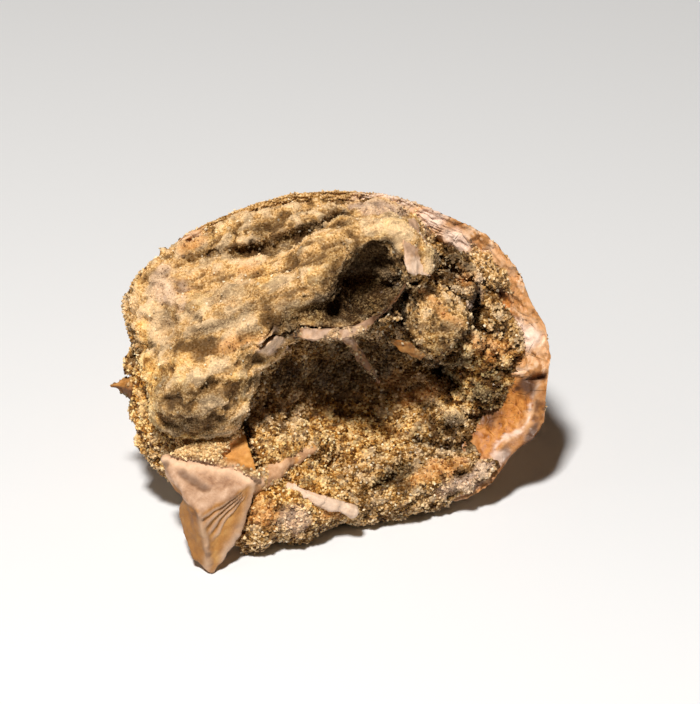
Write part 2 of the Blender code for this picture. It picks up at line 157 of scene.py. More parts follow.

# Lines worn into the sand, as points (u, v), then width and depth. Their depth also paints shade along them.
HOOD_FOLD = ((-14.4, 0.4), (-12.0, 1.0), (-9.6, 1.7), (-7.3, 2.5), (-5.4, 3.6), (-3.4, 4.2))
KNOB_OUTLINE = ((9.6, 5.1), (9.9, 3.7), (9.7, 2.3), (8.4, 0.4), (6.9, -0.7))
CREVICE = ((0.6, 10.2), (-1.0, 9.3), (-2.6, 8.75), (-4.6, 8.05), (-7.0, 7.35), (-9.5, 6.9))
FURROWS = (
    (CREVICE, 0.4, 0.3),
    (CREVICE[:5], 0.34, 0.8),
    (HOOD_FOLD, 0.8, 0.4),
    (KNOB_OUTLINE, 0.36, 1.0),
    (((3.8, 2.9), (4.6, 1.9), (5.7, 0.7), (6.9, -0.5)), 0.34, 0.7),
    (((-13.2, 2.6), (-11.0, 2.4), (-9.4, 3.0)), 0.35, 0.25),
    (((-3.0, 6.6), (-1.2, 7.3), (0.4, 8.2)), 0.5, 0.3),
    (((-8.6, 5.0), (-6.4, 5.6), (-4.0, 6.4)), 0.4, 0.22),
    (((-12.0, -2.9), (-9.8, -2.6), (-7.4, -3.2)), 0.4, 0.35),
    (((-10.8, 3.6), (-10.1, 3.2), (-9.3, 2.9)), 0.26, 0.34),
    (((-7.9, 4.1), (-7.0, 3.85)), 0.26, 0.3),
    (((-9.6, 1.8), (-8.2, 2.3), (-6.9, 2.9)), 0.3, 0.3),
    (((-6.3, 3.4), (-5.6, 3.7)), 0.3, 0.32),
    (((-14.2, 0.5), (-12.9, 0.9)), 0.35, 0.4),
    (((-8.8, -2.0), (-7.0, -1.8)), 0.3, 0.36),
    (((-12.8, -1.3), (-11.5, -1.2)), 0.3, 0.3),
    (((-12.6, -4.2), (-11.4, -4.7)), 0.35, 0.45),
    (((-11.2, -4.3), (-9.5, -4.2)), 0.3, 0.4),
    (((-9.5, -3.0), (-8.3, -3.7)), 0.32, 0.42),
    (((3.0, -8.8), (4.0, -8.1), (5.1, -7.4)), 0.5, 1.2),
    (((-2.9, 2.9), (-1.2, 3.4), (0.4, 3.6)), 0.75, 0.9),
    (((5.8, -5.5), (7.4, -5.9), (9.1, -6.2)), 0.4, 0.8),
    (((7.2, -0.4), (8.4, -1.6), (9.0, -2.6)), 0.4, 0.6),
    (((10.6, -1.2), (13.0, -0.6)), 0.4, 0.7),
)
# Pits in the crumbly band, in the cave and at the end of its bar, as (u, v), radii, turn and depth. Their
# depth also paints shade in them.
PITS = (
    ((-3.3, 2.15), (0.75, 0.45), 0, 1.3),
    ((2.2, 6.4), (1.3, 1.1), -20, 0.9),
    ((3.4, 7.6), (0.6, 0.5), 30, 0.7),
    ((0.9, 5.0), (0.5, 0.6), 0, 0.5),
    ((-9.2, 7.9), (0.5, 0.35), 30, 0.6),
    ((-8.4, 7.6), (0.45, 0.3), 10, 0.5),
    ((-7.5, 8.2), (0.5, 0.28), 20, 0.5),
    ((-5.7, 8.3), (0.35, 0.4), 0, 0.5),
    ((-7.1, 9.0), (0.6, 0.4), 20, 0.6),
    ((-6.1, 9.8), (0.5, 0.3), 25, 0.5),
    ((-4.7, 9.4), (0.4, 0.3), 10, 0.5),
    ((-2.2, 10.4), (0.7, 0.3), 15, 0.4),
    ((-13.2, 4.9), (0.5, 0.35), 20, 0.35),
    ((1.4, 7.0), (0.5, 0.4), 0, 0.3),
    ((2.9, 4.3), (1.8, 1.4), -20, 2.3),
)

# Places along the hood's lower right edge, as (u, v), radii and turn, and how far each is drawn in.
HOOD_EDGE = (
    ((-3.9, -1.8), (2.8, 2.4), 44, (-0.85, 0.9, 0.0)),
    ((-2.2, 0.1), (2.4, 1.4), 20, (-0.4, 1.1, 0.0)),
)
# The hood's foot is worn down above this height, and sand is banked up to a level beside the big splinter.
FOOT = ((-9.8, -5.7), (3.3, 1.15), -4)
FOOT_HEIGHT = 4.3
BANK = ((-5.95, -4.3), (-4.2, -4.7), (-3.4, -6.0), (-3.8, -7.2), (-5.2, -7.5), (-5.8, -6.0))
BANK_LEVEL = 3.5
# The knob is a block that rises gently toward the hood above this v and falls away faster below it.
KNOB_BLOCK = ((4.2, 2.1), (4.3, 3.9), (5.2, 5.5), (7.6, 5.8), (9.6, 4.8), (9.8, 2.7), (8.3, 0.8), (6.8, -0.3))
KNOB_CREST = (2.4, 4.1)  # and its height out of the break there
KNOB_CALM = ((7.1, 2.7), (2.7, 2.2), -32)  # where the skin of the knob is less broken up
# Mounds of sand, as (u, v), radii, turn and height.
MOUNDS = (
    ((-4.2, -6.2), (1.8, 1.6), 20, 1.3),
    ((-0.6, 4.6), (0.7, 0.5), 40, 0.35),
    ((4.3, 4.2), (0.5, 0.6), 0, 0.3),
)
# Outlines of (u, v) corners: the cave, the knob's lower face, and a stepped scrap of shell beside the bar.
# The cave and the knob's lower face are painted in shade.
CAVE = (
    (-1.7, 4.1), (-0.7, 5.3), (0.4, 6.8), (1.5, 7.8), (3.2, 8.1), (4.4, 7.5),
    (5.0, 6.0), (4.8, 4.6), (3.9, 3.3), (2.2, 2.2), (0.4, 2.2), (-2.9, 2.4),
)
KNOB_FACE = ((4.2, 2.3), (6.0, 2.5), (9.4, 2.7), (6.9, -0.4))
STEPPED_SCRAP = ((-5.4, 0.5), (-5.0, 1.3), (-4.2, 1.8), (-3.5, 1.7), (-3.2, 0.9), (-4.3, 0.3))

# Stains on the sand, and spots of painted light and painted shade, as (u, v), radii and turn.
RUST_ON_SAND = (
    ((-6.2, 6.3), (0.9, 0.45), 20),
    ((-9.9, 8.0), (1.4, 0.5), 35),
    ((-7.3, 1.0), (2.0, 0.5), 18),
    ((-5.2, -10.6), (1.9, 1.2), -20),
    ((-0.2, -10.6), (0.9, 0.4), 20),
    ((6.2, -2.4), (2.6, 0.6), 20),
    ((10.6, 1.0), (2.2, 0.8), -20),
    ((7.4, -7.6), (2.2, 0.9), 20),
    ((9.0, 5.6), (0.8, 1.2), 20),
    ((6.6, 4.3), (1.6, 0.3), -32),
    ((7.6, 3.2), (1.8, 0.3), -32),
    ((4.2, -1.4), (2.4, 0.7), 10),
)
GOLD_ON_SAND = (
    ((-3.2, -8.4), (5.0, 3.4), 0),
    ((-13.4, -2.4), (1.5, 5.0), 0),
    ((10.6, -1.4), (3.8, 3.2), -20),
    # Partly painted light: this one brightens the sand below the hood's edge, which lies in its shadow.
    ((-9.5, -5.9), (3.4, 0.7), -5),
    ((1.5, -4.8), (5.0, 2.6), 0),
)
# Painted light: sand made paler where it faces the light.
LIT_SAND = (
    ((-8.0, 4.2), (3.4, 1.5), 15),
    ((-5.4, 10.6), (3.6, 0.8), 22),
    ((3.4, 9.4), (2.6, 1.1), -10),
    ((-12.4, 2.8), (1.7, 3.6), 0),
)
PALE_ON_SAND = (
    ((8.4, -8.9), (1.8, 0.7), 22),
    ((10.6, -7.3), (1.0, 0.6), 45),
    ((-12.2, 6.0), (1.3, 0.55), 50),
    ((-2.9, -11.2), (1.1, 1.3), -10),
    ((9.5, -8.6), (1.0, 0.5), 45),
    ((9.8, 4.4), (0.5, 1.8), -6),
    ((6.6, 9.6), (0.9, 0.8), 0),
    # Partly painted light: this one makes the lit top edge paler.
    ((3.6, 10.6), (3.2, 0.9), -4),
    ((-11.6, 5.0), (1.4, 1.8), 30),
)
# Painted shade, soft: slopes that face down, away from the light, and the sides of the cave, the crevice and
# the knob.
SOFT_SHADE_ON_SAND = (
    ((-10.0, -2.7), (2.9, 1.5), 12),
    ((-9.2, -4.6), (3.2, 1.3), 5),
    ((-12.0, -1.6), (0.9, 0.9), 0),
    ((-5.6, 1.9), (1.4, 0.5), 25),
    ((-2.6, 3.8), (1.6, 0.6), 30),
    ((-0.4, 5.4), (0.9, 1.4), 10),
    ((-9.0, -3.9), (2.2, 1.4), 0),
    ((2.6, 4.6), (2.2, 1.5), 0),
    ((7.6, 1.0), (2.0, 0.7), 30),
    ((5.0, 2.6), (0.8, 1.0), 0),
    ((-4.6, 9.2), (2.2, 0.5), 25),
    ((-8.0, 7.4), (2.2, 0.4), 20),
    ((-3.0, 8.7), (2.6, 0.3), 25),
)
# Painted shade, deep: the cave, the recess beside the hood's tip, the crevice, the bowl under the hood and
# the bar, and the hollows round the knob and the right wall.
DEEP_SHADE_ON_SAND = (
    ((2.6, 6.6), (2.2, 2.4), -20),
    ((8.6, 7.3), (1.4, 1.7), -30),
    ((6.9, 6.9), (0.6, 0.9), 0),
    ((-2.2, 9.2), (2.4, 0.3), 25),
    ((1.0, 3.1), (2.8, 0.75), 8),
    ((-3.3, 2.3), (1.4, 0.8), 0),
    ((0.8, -1.0), (4.8, 1.8), 6),
    ((1.4, 0.7), (4.2, 1.2), 0),
    ((10.9, -2.6), (1.7, 2.5), 0),
    ((8.0, -4.6), (1.8, 1.0), 20),
    ((8.4, -0.2), (1.5, 0.8), 35),
    ((8.0, -1.4), (1.2, 1.3), 30),
    ((9.2, -6.0), (1.1, 0.6), 0),
    ((13.0, -1.0), (1.5, 0.7), 10),
    ((-3.4, -1.2), (1.3, 1.6), 30),
    ((-10.4, -4.6), (2.4, 0.7), 0),
    ((-6.4, -1.8), (1.8, 0.5), 30),
    ((4.0, -8.1), (1.8, 0.8), 32),
)

SPLINTER_VOXEL = 0.12
# The big splinter's parts, as outlines and lines of (u, v) corners.
PALE_FACE = (
    (-11.9, -6.6), (-10.4, -6.95), (-8.6, -7.25), (-7.0, -7.45), (-5.6, -8.2),
    (-6.1, -8.75), (-9.2, -10.5), (-10.4, -9.85), (-10.8, -9.0), (-11.5, -7.8),
)
FACE_TOP = ((-12.4, -6.45), (-10.4, -6.95), (-8.6, -7.25), (-7.0, -7.45), (-5.6, -8.2))
LEFT_FACET = ((-10.5, -9.5), (-9.3, -10.8), (-8.95, -12.8), (-8.8, -15.4), (-12.0, -15.4), (-12.0, -9.4))
SHOULDER = ((-6.3, -4.2), (-5.6, -5.8), (-5.2, -7.0), (-5.0, -7.6), (-6.6, -7.4), (-7.8, -6.9), (-7.4, -6.1))
# The fan of ridges: the point that they run from, the angle between them, and where the first and last are.
FAN_FROM = (-5.4, -8.4)
FAN_STEP = math.radians(6.0)
FAN_SPREAD = (math.radians(211), math.radians(236))
SPINE = ((-9.35, -10.7), (-8.95, -12.4), (-8.8, -13.6), (-8.8, -15.0))
PINK_STREAK = ((-6.8, -12.0), (-7.6, -13.5), (-8.3, -14.7))
RIGHT_EDGE = ((-5.6, -8.8), (-6.1, -10.8), (-6.7, -12.0))
FACE_SMUDGES = (
    ((-9.9, -8.3), (1.5, 0.42), -30),
    ((-11.6, -7.2), (0.35, 0.25), -30),
    ((-3.0, -7.4), (0.3, 0.2), 20),
    ((-6.0, -7.6), (0.3, 0.2), 0),
    ((-5.1, -7.75), (0.3, 0.16), -20),
    ((-8.75, -13.45), (0.3, 0.3), 0),
    ((-9.7, -10.6), (0.5, 0.25), -30),
)

# The grains: how close they lie, their smallest and largest radius, and how far they stand out of the skin.
FINE_GRAINS = {"Spacing": 0.165, "Smallest": 0.05, "Largest": 0.11, "Raise": -0.01}
BOLD_GRAINS = {"Spacing": 0.205, "Smallest": 0.08, "Largest": 0.19, "Raise": 0.02}
GLINT_GRAINS = {"Spacing": 0.4, "Smallest": 0.07, "Largest": 0.16, "Raise": 0.08}
DENSEST = 60.0  # grains to a square millimetre, at most
TONE_SEED = 17
# Their dark, middle and light colours, as linear red, green and blue.
SOFT_TONES = ((0.34, 0.175, 0.05), (0.66, 0.395, 0.155), (0.93, 0.66, 0.36))
BROWN_TONES = ((0.06, 0.022, 0.003), (0.44, 0.23, 0.062), (0.92, 0.68, 0.38))
GLINT_TONES = ((0.6, 0.38, 0.17), (0.86, 0.62, 0.34), (0.98, 0.84, 0.62))
# Each coat of grains: its grains, seed and mask, and its finish with tones and roughness.
GRAIN_COATS = {
    "hood_grains": (FINE_GRAINS, 1, "fine_share", "soft_grains", SOFT_TONES, 0.7),
    "bowl_grains": (BOLD_GRAINS, 2, "bold_share", "brown_grains", BROWN_TONES, 0.45),
    "glinting_grains": (GLINT_GRAINS, 3, "glint_share", "glint_grains", GLINT_TONES, 0.3),
}

# Colours, as linear red, green and blue. Some are stops: where each colour is on the pattern that picks it.
# The brown that the mask of dark stains and painted shade blends to.
STAIN_AND_SHADE_BROWN = (0.03, 0.012, 0.002)
# The darkest speck of the sand, and the painted shade in its creases.
DARK_SPECK_AND_CREASE_SHADE = (0.1, 0.04, 0.006)
BROWN_SAND = (0.2, 0.088, 0.016)
TAN_SAND = (0.56, 0.315, 0.092)
CREAM_SAND = (0.88, 0.63, 0.34)
OLIVE_GREY = (0.22, 0.135, 0.066)
RUST_ORANGE = (0.6, 0.25, 0.06)
PINK_WHITE = (0.86, 0.66, 0.54)
PINK_DENTINE = ((0.34, (0.28, 0.145, 0.08)), (0.5, (0.48, 0.285, 0.175)), (0.66, (0.68, 0.455, 0.315)))
ORANGE_WALL = ((0.3, (0.24, 0.068, 0.009)), (0.46, (0.5, 0.175, 0.027)), (0.66, (0.68, 0.29, 0.062)))
AMBER = ((0.3, (0.2, 0.06, 0.012)), (0.5, (0.46, 0.17, 0.03)), (0.7, (0.72, 0.36, 0.1)))

# The stage, in metres, and the lights on it.
FLOOR_REACH = 0.9  # from its middle to each side
FLOOR = {"Base Color": (0.84, 0.87, 0.93, 1.0), "Roughness": 0.9}
KEY_LIGHT = {
    "place": (-0.041, -0.1845, 0.3),
    "aim": (0.0, -0.012, 0.01),
    "energy": 1.5,
    "size": 0.036,
    "colour": (1.0, 0.95, 0.87),
}
FILL_LIGHT = {
    "place": (-0.28, -0.06, 0.2),
    "aim": (0.0, -0.01, 0.01),
    "energy": 0.1,
    "size": 0.25,
    "colour": (1.0, 0.91, 0.78),
}
ROOM_LIGHT = {"Color": (1.0, 0.9, 0.76, 1.0), "Strength": 0.028}
# The camera looks straight at the break, in millimetres in the break frame.
CAMERA_AWAY = 320.0
SEEN_WIDTH = 49.28
SEEN_MIDDLE = (1.05, 0.56)


# ---------------------------------------------------------------- measures and noise


def ease(low, high, x):
    """0 below low, 1 above high, and an easy curve between them."""
    share = np.clip((x - low) / (high - low), 0.0, 1.0)
    return share * share * (3.0 - 2.0 * share)


def between_angles(angle, start, end, soft):
    """1 between two angles, fading to 0 over a soft stretch at each of them."""
    return ease(start - soft, start + soft, angle) * (1.0 - ease(end - soft, end + soft, angle))


def turned(u, v, degrees):
    """The same points in axes turned by this angle."""
    turn = math.radians(degrees)
    return u * math.cos(turn) + v * math.sin(turn), v * math.cos(turn) - u * math.sin(turn)


def grit(points, length, octaves=4, lean=0.0, stretch=1.0, seed=0.0):
    """Noise from about -1 to 1 at each point. It is drawn out along a direction that leans up from u."""
    along, across = turned(points[:, 0], points[:, 1], lean)
    places = np.stack([along / stretch, across, points[:, 2]], axis=1) / length + seed * 7.31
    fractal = noise.fractal
    basis = "PERLIN_ORIGINAL"
    return np.array([fractal(p, 1.0, 2.0, octaves, noise_basis=basis) for p in places.tolist()])


def away_from(points, centre, radii, turn):
    """Each point's distance to a place (u, v), as a share of the radii there."""
    along, across = turned(points[:, 0] - centre[0], points[:, 1] - centre[1], turn)
    return np.hypot(along / radii[0], across / radii[1])


def dome(points, centre, radii, turn, power=2, stir=1.0):
    """1 at a place (u, v), falling to 0 around it. A higher power gives it a flatter top."""
    return np.exp(-((away_from(points, centre, radii, turn) * stir) ** power))


def spots(points, places, ragged=0.3, seed=3.0):
    """1 inside any of the spots, with a soft and ragged edge."""
    wander = grit(points, 1.1, 3, seed=seed)
    mask = np.zeros(len(points))
    for spot in places:
        mask = np.maximum(mask, 1.0 - ease(0.45, 1.15, away_from(points, *spot) + ragged * wander))
    return mask


def crumbs(points, size, seed=0.0):
    """Rounded crumbs packed side by side: 1 at the top of each and below 0 in the creases."""
    places = (points / size + seed * 5.17).tolist()
    voronoi = noise.voronoi
    return np.array([1.0 - 2.1 * voronoi(p)[0][0] for p in places])


def terraces(x):
    """Steps of 1: level, then a short rise."""
    whole = np.floor(x)
    return whole + ease(0.75, 1.0, x - whole)


def away_from_line(points, line):
    """Each point's distance, in the plane of the break, to a line of (u, v) corners."""
    best = np.full(len(points), np.inf)
    flat = points[:, :2]
    for start, end in zip(np.array(line[:-1]), np.array(line[1:])):
        run = end - start
        share = np.clip((flat - start) @ run / (run @ run), 0.0, 1.0)
        best = np.minimum(best, np.linalg.norm(flat - start - share[:, None] * run, axis=1))
    return best


def along(points, line, width, stir=1.0):
    """1 along a line of (u, v) corners, falling to 0 on both sides of it."""
    return np.exp(-((away_from_line(points, line) * stir / width) ** 2))


def within(points, corners, soft=0.12):
    """1 inside a closed outline of (u, v) corners, with a soft edge."""
    u, v = points[:, 0], points[:, 1]
    inside = np.zeros(len(points), bool)
    for (u0, v0), (u1, v1) in zip(corners, (*corners[1:], corners[0])):
        if v0 != v1:
            inside ^= ((v0 > v) != (v1 > v)) & (u < (u1 - u0) * (v - v0) / (v1 - v0) + u0)
    away = away_from_line(points, (*corners, corners[0]))
    return ease(-soft, soft, np.where(inside, away, -away))


def wobbled(points, length, amount, seed=0.0):
    """The points moved about a little, so that what is drawn on them gets natural edges."""
    shift = np.stack([grit(points, length, 3, seed=seed + k) for k in (0.0, 10.0, 20.0)], axis=1)
    return points + amount * shift


def chips(points, spacing, seed):
    """Flat chips packed side by side: each point's height on its own tilted chip, and that chip's tone."""
    rng = np.random.default_rng(seed)
    low, high = points.min(0) - spacing, points.max(0) + spacing
    count = int(np.prod((high - low) / spacing))
    middles = rng.uniform(low, high, (count, 3))
    tilts = rng.normal(0.0, 0.34, (count, 3))
    heights = rng.uniform(-1.0, 1.0, count)
    tones = rng.random(count)
    tree = kdtree.KDTree(count)
    for i, middle in enumerate(middles.tolist()):
        tree.insert(middle, i)
    tree.balance()
    warp = np.stack([grit(points, spacing * 1.3, 2, seed=seed + k) for k in range(3)], axis=1)
    asked = points + warp * spacing * 0.3
    found = np.array([tree.find(p)[1] for p in asked.tolist()])
    lean = np.einsum("ij,ij->i", points - middles[found], tilts[found]) / spacing
    return heights[found] * 0.5 + lean, tones[found]


# ---------------------------------------------------------------- meshes


def kept_in(points):
    """The points with the outline's furthest reaches drawn in, to leave room for the grains on them."""
    drawn = points.copy()
    for axis, reach in enumerate(FREE_REACH):
        beyond = np.maximum(points[:, axis] - reach, 0.0) * ease(-9.0, -4.0, points[:, 2])
        drawn[:, axis] -= DRAWN_IN * beyond
    return drawn


def points_of(obj):
    flat = np.empty(len(obj.data.vertices) * 3, np.float32)
    obj.data.vertices.foreach_get("co", flat)
    return flat.reshape(-1, 3).astype(float)


def set_points(obj, points):
    obj.data.vertices.foreach_set("co", points.astype(np.float32).ravel())
    obj.data.update()


def normals_of(obj):
    flat = np.empty(len(obj.data.vertices) * 3, np.float32)
    obj.data.vertex_normals.foreach_get("vector", flat)
    return flat.reshape(-1, 3).astype(float)


def paint(obj, **masks):
    """Keeps masks from 0 to 1 on the vertices, for the finishes to read. A mask may be one number."""
    for name, values in masks.items():
        layer = obj.data.attributes.get(name) or obj.data.attributes.new(name, "FLOAT", "POINT")
        everywhere = np.broadcast_to(values, len(obj.data.vertices))
        layer.data.foreach_set("value", np.clip(everywhere, 0.0, 1.0).astype(np.float32))


def painted(obj, name):
    """A mask from the vertices, 0 where the object has none of that name."""
    values = np.zeros(len(obj.data.vertices), np.float32)
    if name in obj.data.attributes:
        obj.data.attributes[name].data.foreach_get("value", values)
    return values.astype(float)


def give(tree, node, inputs):
    """Sets each of these inputs of a node to a value, or links it to a socket."""
    for place, value in inputs.items():
        if isinstance(value, bpy.types.NodeSocket):
            tree.links.new(value, node.inputs[place])
        else:
            node.inputs[place].default_value = value


def noded(tree, kind, inputs=None, **settings):
    """A new node with these settings and inputs."""
    node = tree.nodes.new(kind)
    for name, value in settings.items():
        setattr(node, name, value)
    give(tree, node, inputs or {})
    return node


def object_from(bm, name):
    mesh = bpy.data.meshes.new(name)
    bm.to_mesh(mesh)
    bm.free()
    obj = bpy.data.objects.new(name, mesh)
    bpy.context.scene.collection.objects.link(obj)
    return obj


def bake_modifiers(obj):
    """Replaces the mesh by what its modifiers make of it, and drops them."""
    bpy.context.view_layer.update()
    graph = bpy.context.evaluated_depsgraph_get()
    baked = bpy.data.meshes.new_from_object(obj.evaluated_get(graph))
    obj.modifiers.clear()
    old = obj.data
    obj.data = baked
    bpy.data.meshes.remove(old)


def remesh(obj, voxel, smoothing=0):
    """An even skin of small quads, with its corners eased."""
    modifier = obj.modifiers.new("Remesh", "REMESH")
    modifier.mode = "VOXEL"
    modifier.voxel_size = voxel
    if smoothing:
        smooth = obj.modifiers.new("Smooth", "SMOOTH")
        smooth.iterations = smoothing
    bake_modifiers(obj)


def cad_copy(name):
    """A merged copy of a solid's mesh, in the break frame."""
    bm = bmesh.new()
    bm.from_mesh(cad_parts[name].data)
    bmesh.ops.remove_doubles(bm, verts=bm.verts, dist=1e-7)
    bm.transform(TO_BREAK)
    return bm


def cad_trees(names):
    trees = []
    for name in names:
        bm = cad_copy(name)
        trees.append(bvhtree.BVHTree.FromBMesh(bm))
        bm.free()
    return trees


def place(obj, name, finish, slot, *nodes):
    """Stands a shaped piece on the ground, gives it its finish and its place in the frame."""
    obj.name = name
    obj.data.name = name
    obj.data.transform(TO_WORLD)
    points = points_of(obj)
    points[:, 2] = np.maximum(points[:, 2], 0.0)
    set_points(obj, points)
    obj.data.materials.clear()
    obj.data.materials.append(finish)
    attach(obj, "root")
    if nodes:
        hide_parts(*nodes)
    return obj


# ---------------------------------------------------------------- the crown


def wall_gone(angle):
    """1 where the wall is broken back and bares the sand, 0 where it reaches the rim."""
    return between_angles(angle % (2 * math.pi), RECESS_FROM, RECESS_TO, RECESS_EASE)


def rim_recess(angle):
    """How far the ragged rim stands back from the break."""
    round_rim = np.stack([np.cos(angle), np.sin(angle), 0 * angle], axis=1)
    places = (round_rim * RIM_CHIP_ROUND + RIM_CHIP_PLACE) / RIM_CHIP_LENGTH
    ragged = [noise.fractal(p, 1.0, 2.0, 4, noise_basis="PERLIN_ORIGINAL") for p in places.tolist()]
    return RECESS * wall_gone(angle) + RIM_CHIP * np.array(ragged)


def lifted_flake(depth, angle):
    """How far flakes of the wall stand out beside the rim."""
    lift = 0.0 * angle
    for at, width, height in RIM_FLAKES:
        away = (np.degrees(angle) - at + 180) % 360 - 180
        lift = lift + height * np.exp(-((away / width) ** 2))
    return lift * (1.0 - ease(0.0, FLAKE_REACH, depth))


def crown_ring(depth, angle, inward):
    """Points round the crown at their depths from the rim, moved inward by a wall."""
    taper = np.clip(1.0 - depth / CROWN_LENGTH, 0.0, 1.0) ** CROWN_FULLNESS
    share = np.clip(depth / CROWN_LENGTH, 0.0, 1.0)
    half_height = RIM_HALF_HEIGHT * taper
    middle_y = half_height - RIM_HALF_HEIGHT * (1.0 - share)
    to_carina = np.minimum(angle % math.pi, math.pi - angle % math.pi)
    teeth = 1.0 + SERRATION[0] * np.sin(depth * SERRATION[1])
    carina = CARINA_HEIGHT * np.exp(-((to_carina / CARINA_WIDTH) ** 2)) * taper**0.5
    edge = CUTTING_EDGE[0] * teeth * np.exp(-((to_carina / CUTTING_EDGE[1]) ** 2)) * taper**0.5
    facets = FACET_DEPTH * np.abs(np.sin(FACET_COUNT * angle / 2)) * taper
    relief = (carina + edge - facets) * (1.0 - ease(0.0, WALL_AT_RIM, inward))
    swell = relief + lifted_flake(depth, angle) - inward
    x = CROWN_HOOK * share**2 + np.cos(angle) * np.maximum(0.0, RIM_HALF_WIDTH * taper + swell)
    y = middle_y + np.sin(angle) * np.maximum(0.0, half_height + swell)
    return np.stack([x, y, -depth], axis=1)


def wall_at(depth, angle):
    """The wall's thickness at a depth from the break, until it is solid at the cavity's end."""
    rim = WALL_AT_RIM + WALL_SPREAD * np.sin(2 * angle + 0.8)
    share = np.clip(depth / CAVITY_DEPTH, 0.0, 1.0)
    solid = RIM_HALF_HEIGHT * (1.0 - np.maximum(0.0, depth) / CROWN_LENGTH) ** CROWN_FULLNESS
    return rim + (solid - rim) * share**WALL_GROWTH


def loft(rings):
    """Skins rings of points and closes both ends with a fan."""
    bm = bmesh.new()
    made = [[bm.verts.new(point) for point in ring] for ring in rings]
    count = len(made[0])
    for near, far in zip(made, made[1:]):
        for i in range(count):
            j = (i + 1) % count
            bm.faces.new((near[i], near[j], far[j], far[i]))
    for ring in (made[0], made[-1]):
        middle = bm.verts.new(sum((v.co for v in ring), Vector()) / count)
        for i in range(count):
            bm.faces.new((ring[i], ring[(i + 1) % count], middle))
    bmesh.ops.recalc_face_normals(bm, faces=bm.faces)
    return bm


def bared_wall(angle):
    """1 where the inner wall shows beside the bowl, at the lower right."""
    degrees = (np.degrees(angle) + 180.0) % 360.0 - 180.0
    return ease(*BARED_FROM, degrees) * (1.0 - ease(*BARED_TO, degrees))


def crown_skin():
    """The whole crown in fine rings: inside the cavity, over the broken edge, and out to the tip."""
    angle = np.linspace(0.0, 2 * math.pi, ROUND_CROWN, endpoint=False)
    recess = rim_recess(angle)
    slant = EDGE_SLANT + BARED_SLANT * bared_wall(angle)
    extra = BARED_EXTRA * bared_wall(angle)
    rings, outside, edge, across = [], [], [], []

    def add_ring(depth, inward, *shares):
        rings.append(crown_ring(depth, angle, inward))
        for masks, share in zip((outside, edge, across), shares):
            masks.append(share + 0.0 * angle)

    for k in range(INSIDE_RINGS, 0, -1):
        share = (k / INSIDE_RINGS) ** 1.5
        start = recess + slant
        depth = start + (CAVITY_DEPTH * CAVITY_END - start) * share
        inward = wall_at(depth, angle) + extra * (1.0 - ease(0.0, 0.5, share))
        add_ring(depth, inward, 0.0, 1.0 - ease(0.0, 3.0, depth - recess), 1.0)
    for k in range(EDGE_RINGS):
        share = 1.0 - (k + 0.5) / EDGE_RINGS
        add_ring(recess + slant * share**1.3, (wall_at(recess, angle) + extra) * share, 0.0, 1.0, share)
    for k in range(1, OUTSIDE_RINGS + 1):
        share = (k / (OUTSIDE_RINGS + 0.12)) ** RINGS_TOWARD_RIM
        depth = recess + (CROWN_LENGTH - recess) * share
        add_ring(depth, 0.0 * angle, 1.0, 1.0 - ease(0.0, 1.6, depth - recess), 0.0)
    obj = object_from(loft(rings), "crown")
    ends = np.array([0.0, 1.0])  # the middle of the fan inside, and the tip
    paint(
        obj,
        enamel=np.concatenate([*outside, ends]),
        broken=np.concatenate([*edge, 0 * ends]),
        across=np.concatenate([*across, 0 * ends]),
        bared=np.concatenate([*(bared_wall(angle) for _ in across), 0 * ends]),
    )
    return obj


def crown_relief(points, enamel, broken, across, bared):
    """How far the crown's skin stands out, where its enamel is spalled off, and the tone of its layers."""
    laminae = 3.4 * across * (1.0 - 0.75 * bared) + 2.6 * grit(points, 1.9, 4, seed=4.0)
    shelf = terraces(laminae) - laminae
    splintery = np.abs(grit(points, 0.9, 4, seed=7.0))
    spall = ease(0.30, 0.36, grit(points, 3.2, 4, seed=6.0) + 0.32 * broken) * enamel
    on_edge = broken * (1.0 - enamel) * (1.0 - 0.8 * bared)
    step = 0.24 * (shelf + 0.5) * on_edge - 0.34 * (splintery - 0.2) * on_edge
    step += 0.07 * grit(points, 4.0, 3, seed=2.0) + 0.03 * grit(points, 0.8, 3, seed=9.0)
    step += 0.12 * grit(points, 0.9, 4, seed=10.0) * bared * across
    step -= 0.16 * spall
    layer_tone = 0.5 + 0.5 * np.sin(np.floor(laminae) * 2.4) + 0.35 * grit(points, 1.2, 3, seed=12.0)
    return step, spall, layer_tone


def sand_on_crown(points, enamel, across, hollow):
    """Where sand sticks to the wall, and where it is the fine kind."""
    behind = points @ np.array(CROWN_TO_BREAK.to_3x3().col[2]) * -1.0
    ragged = grit(points, 2.6, 4, seed=15.0)
    round_rim = np.degrees(np.arctan2(points[:, 1] - RIM_MIDDLE.y, points[:, 0] - RIM_MIDDLE.x))
    round_rim += 10.0 * ragged
    smeared = between_angles(round_rim, *SAND_OVER_RIM) * (1.0 - ease(1.2, 6.4, behind + 3.4 * ragged))
    thin_rim = between_angles(round_rim, *THIN_SAND) * ((1.0 - enamel) * (1.0 - hollow))
    smeared = np.maximum(smeared, thin_rim * ease(0.48, 0.62, across + 0.5 * ragged))
    caught = ease(0.22, 0.36, ragged) * (1.0 - ease(1.0, 9.0, behind)) * enamel
    return np.maximum(smeared, 0.9 * caught), smeared * ease(40.0, 60.0, round_rim)


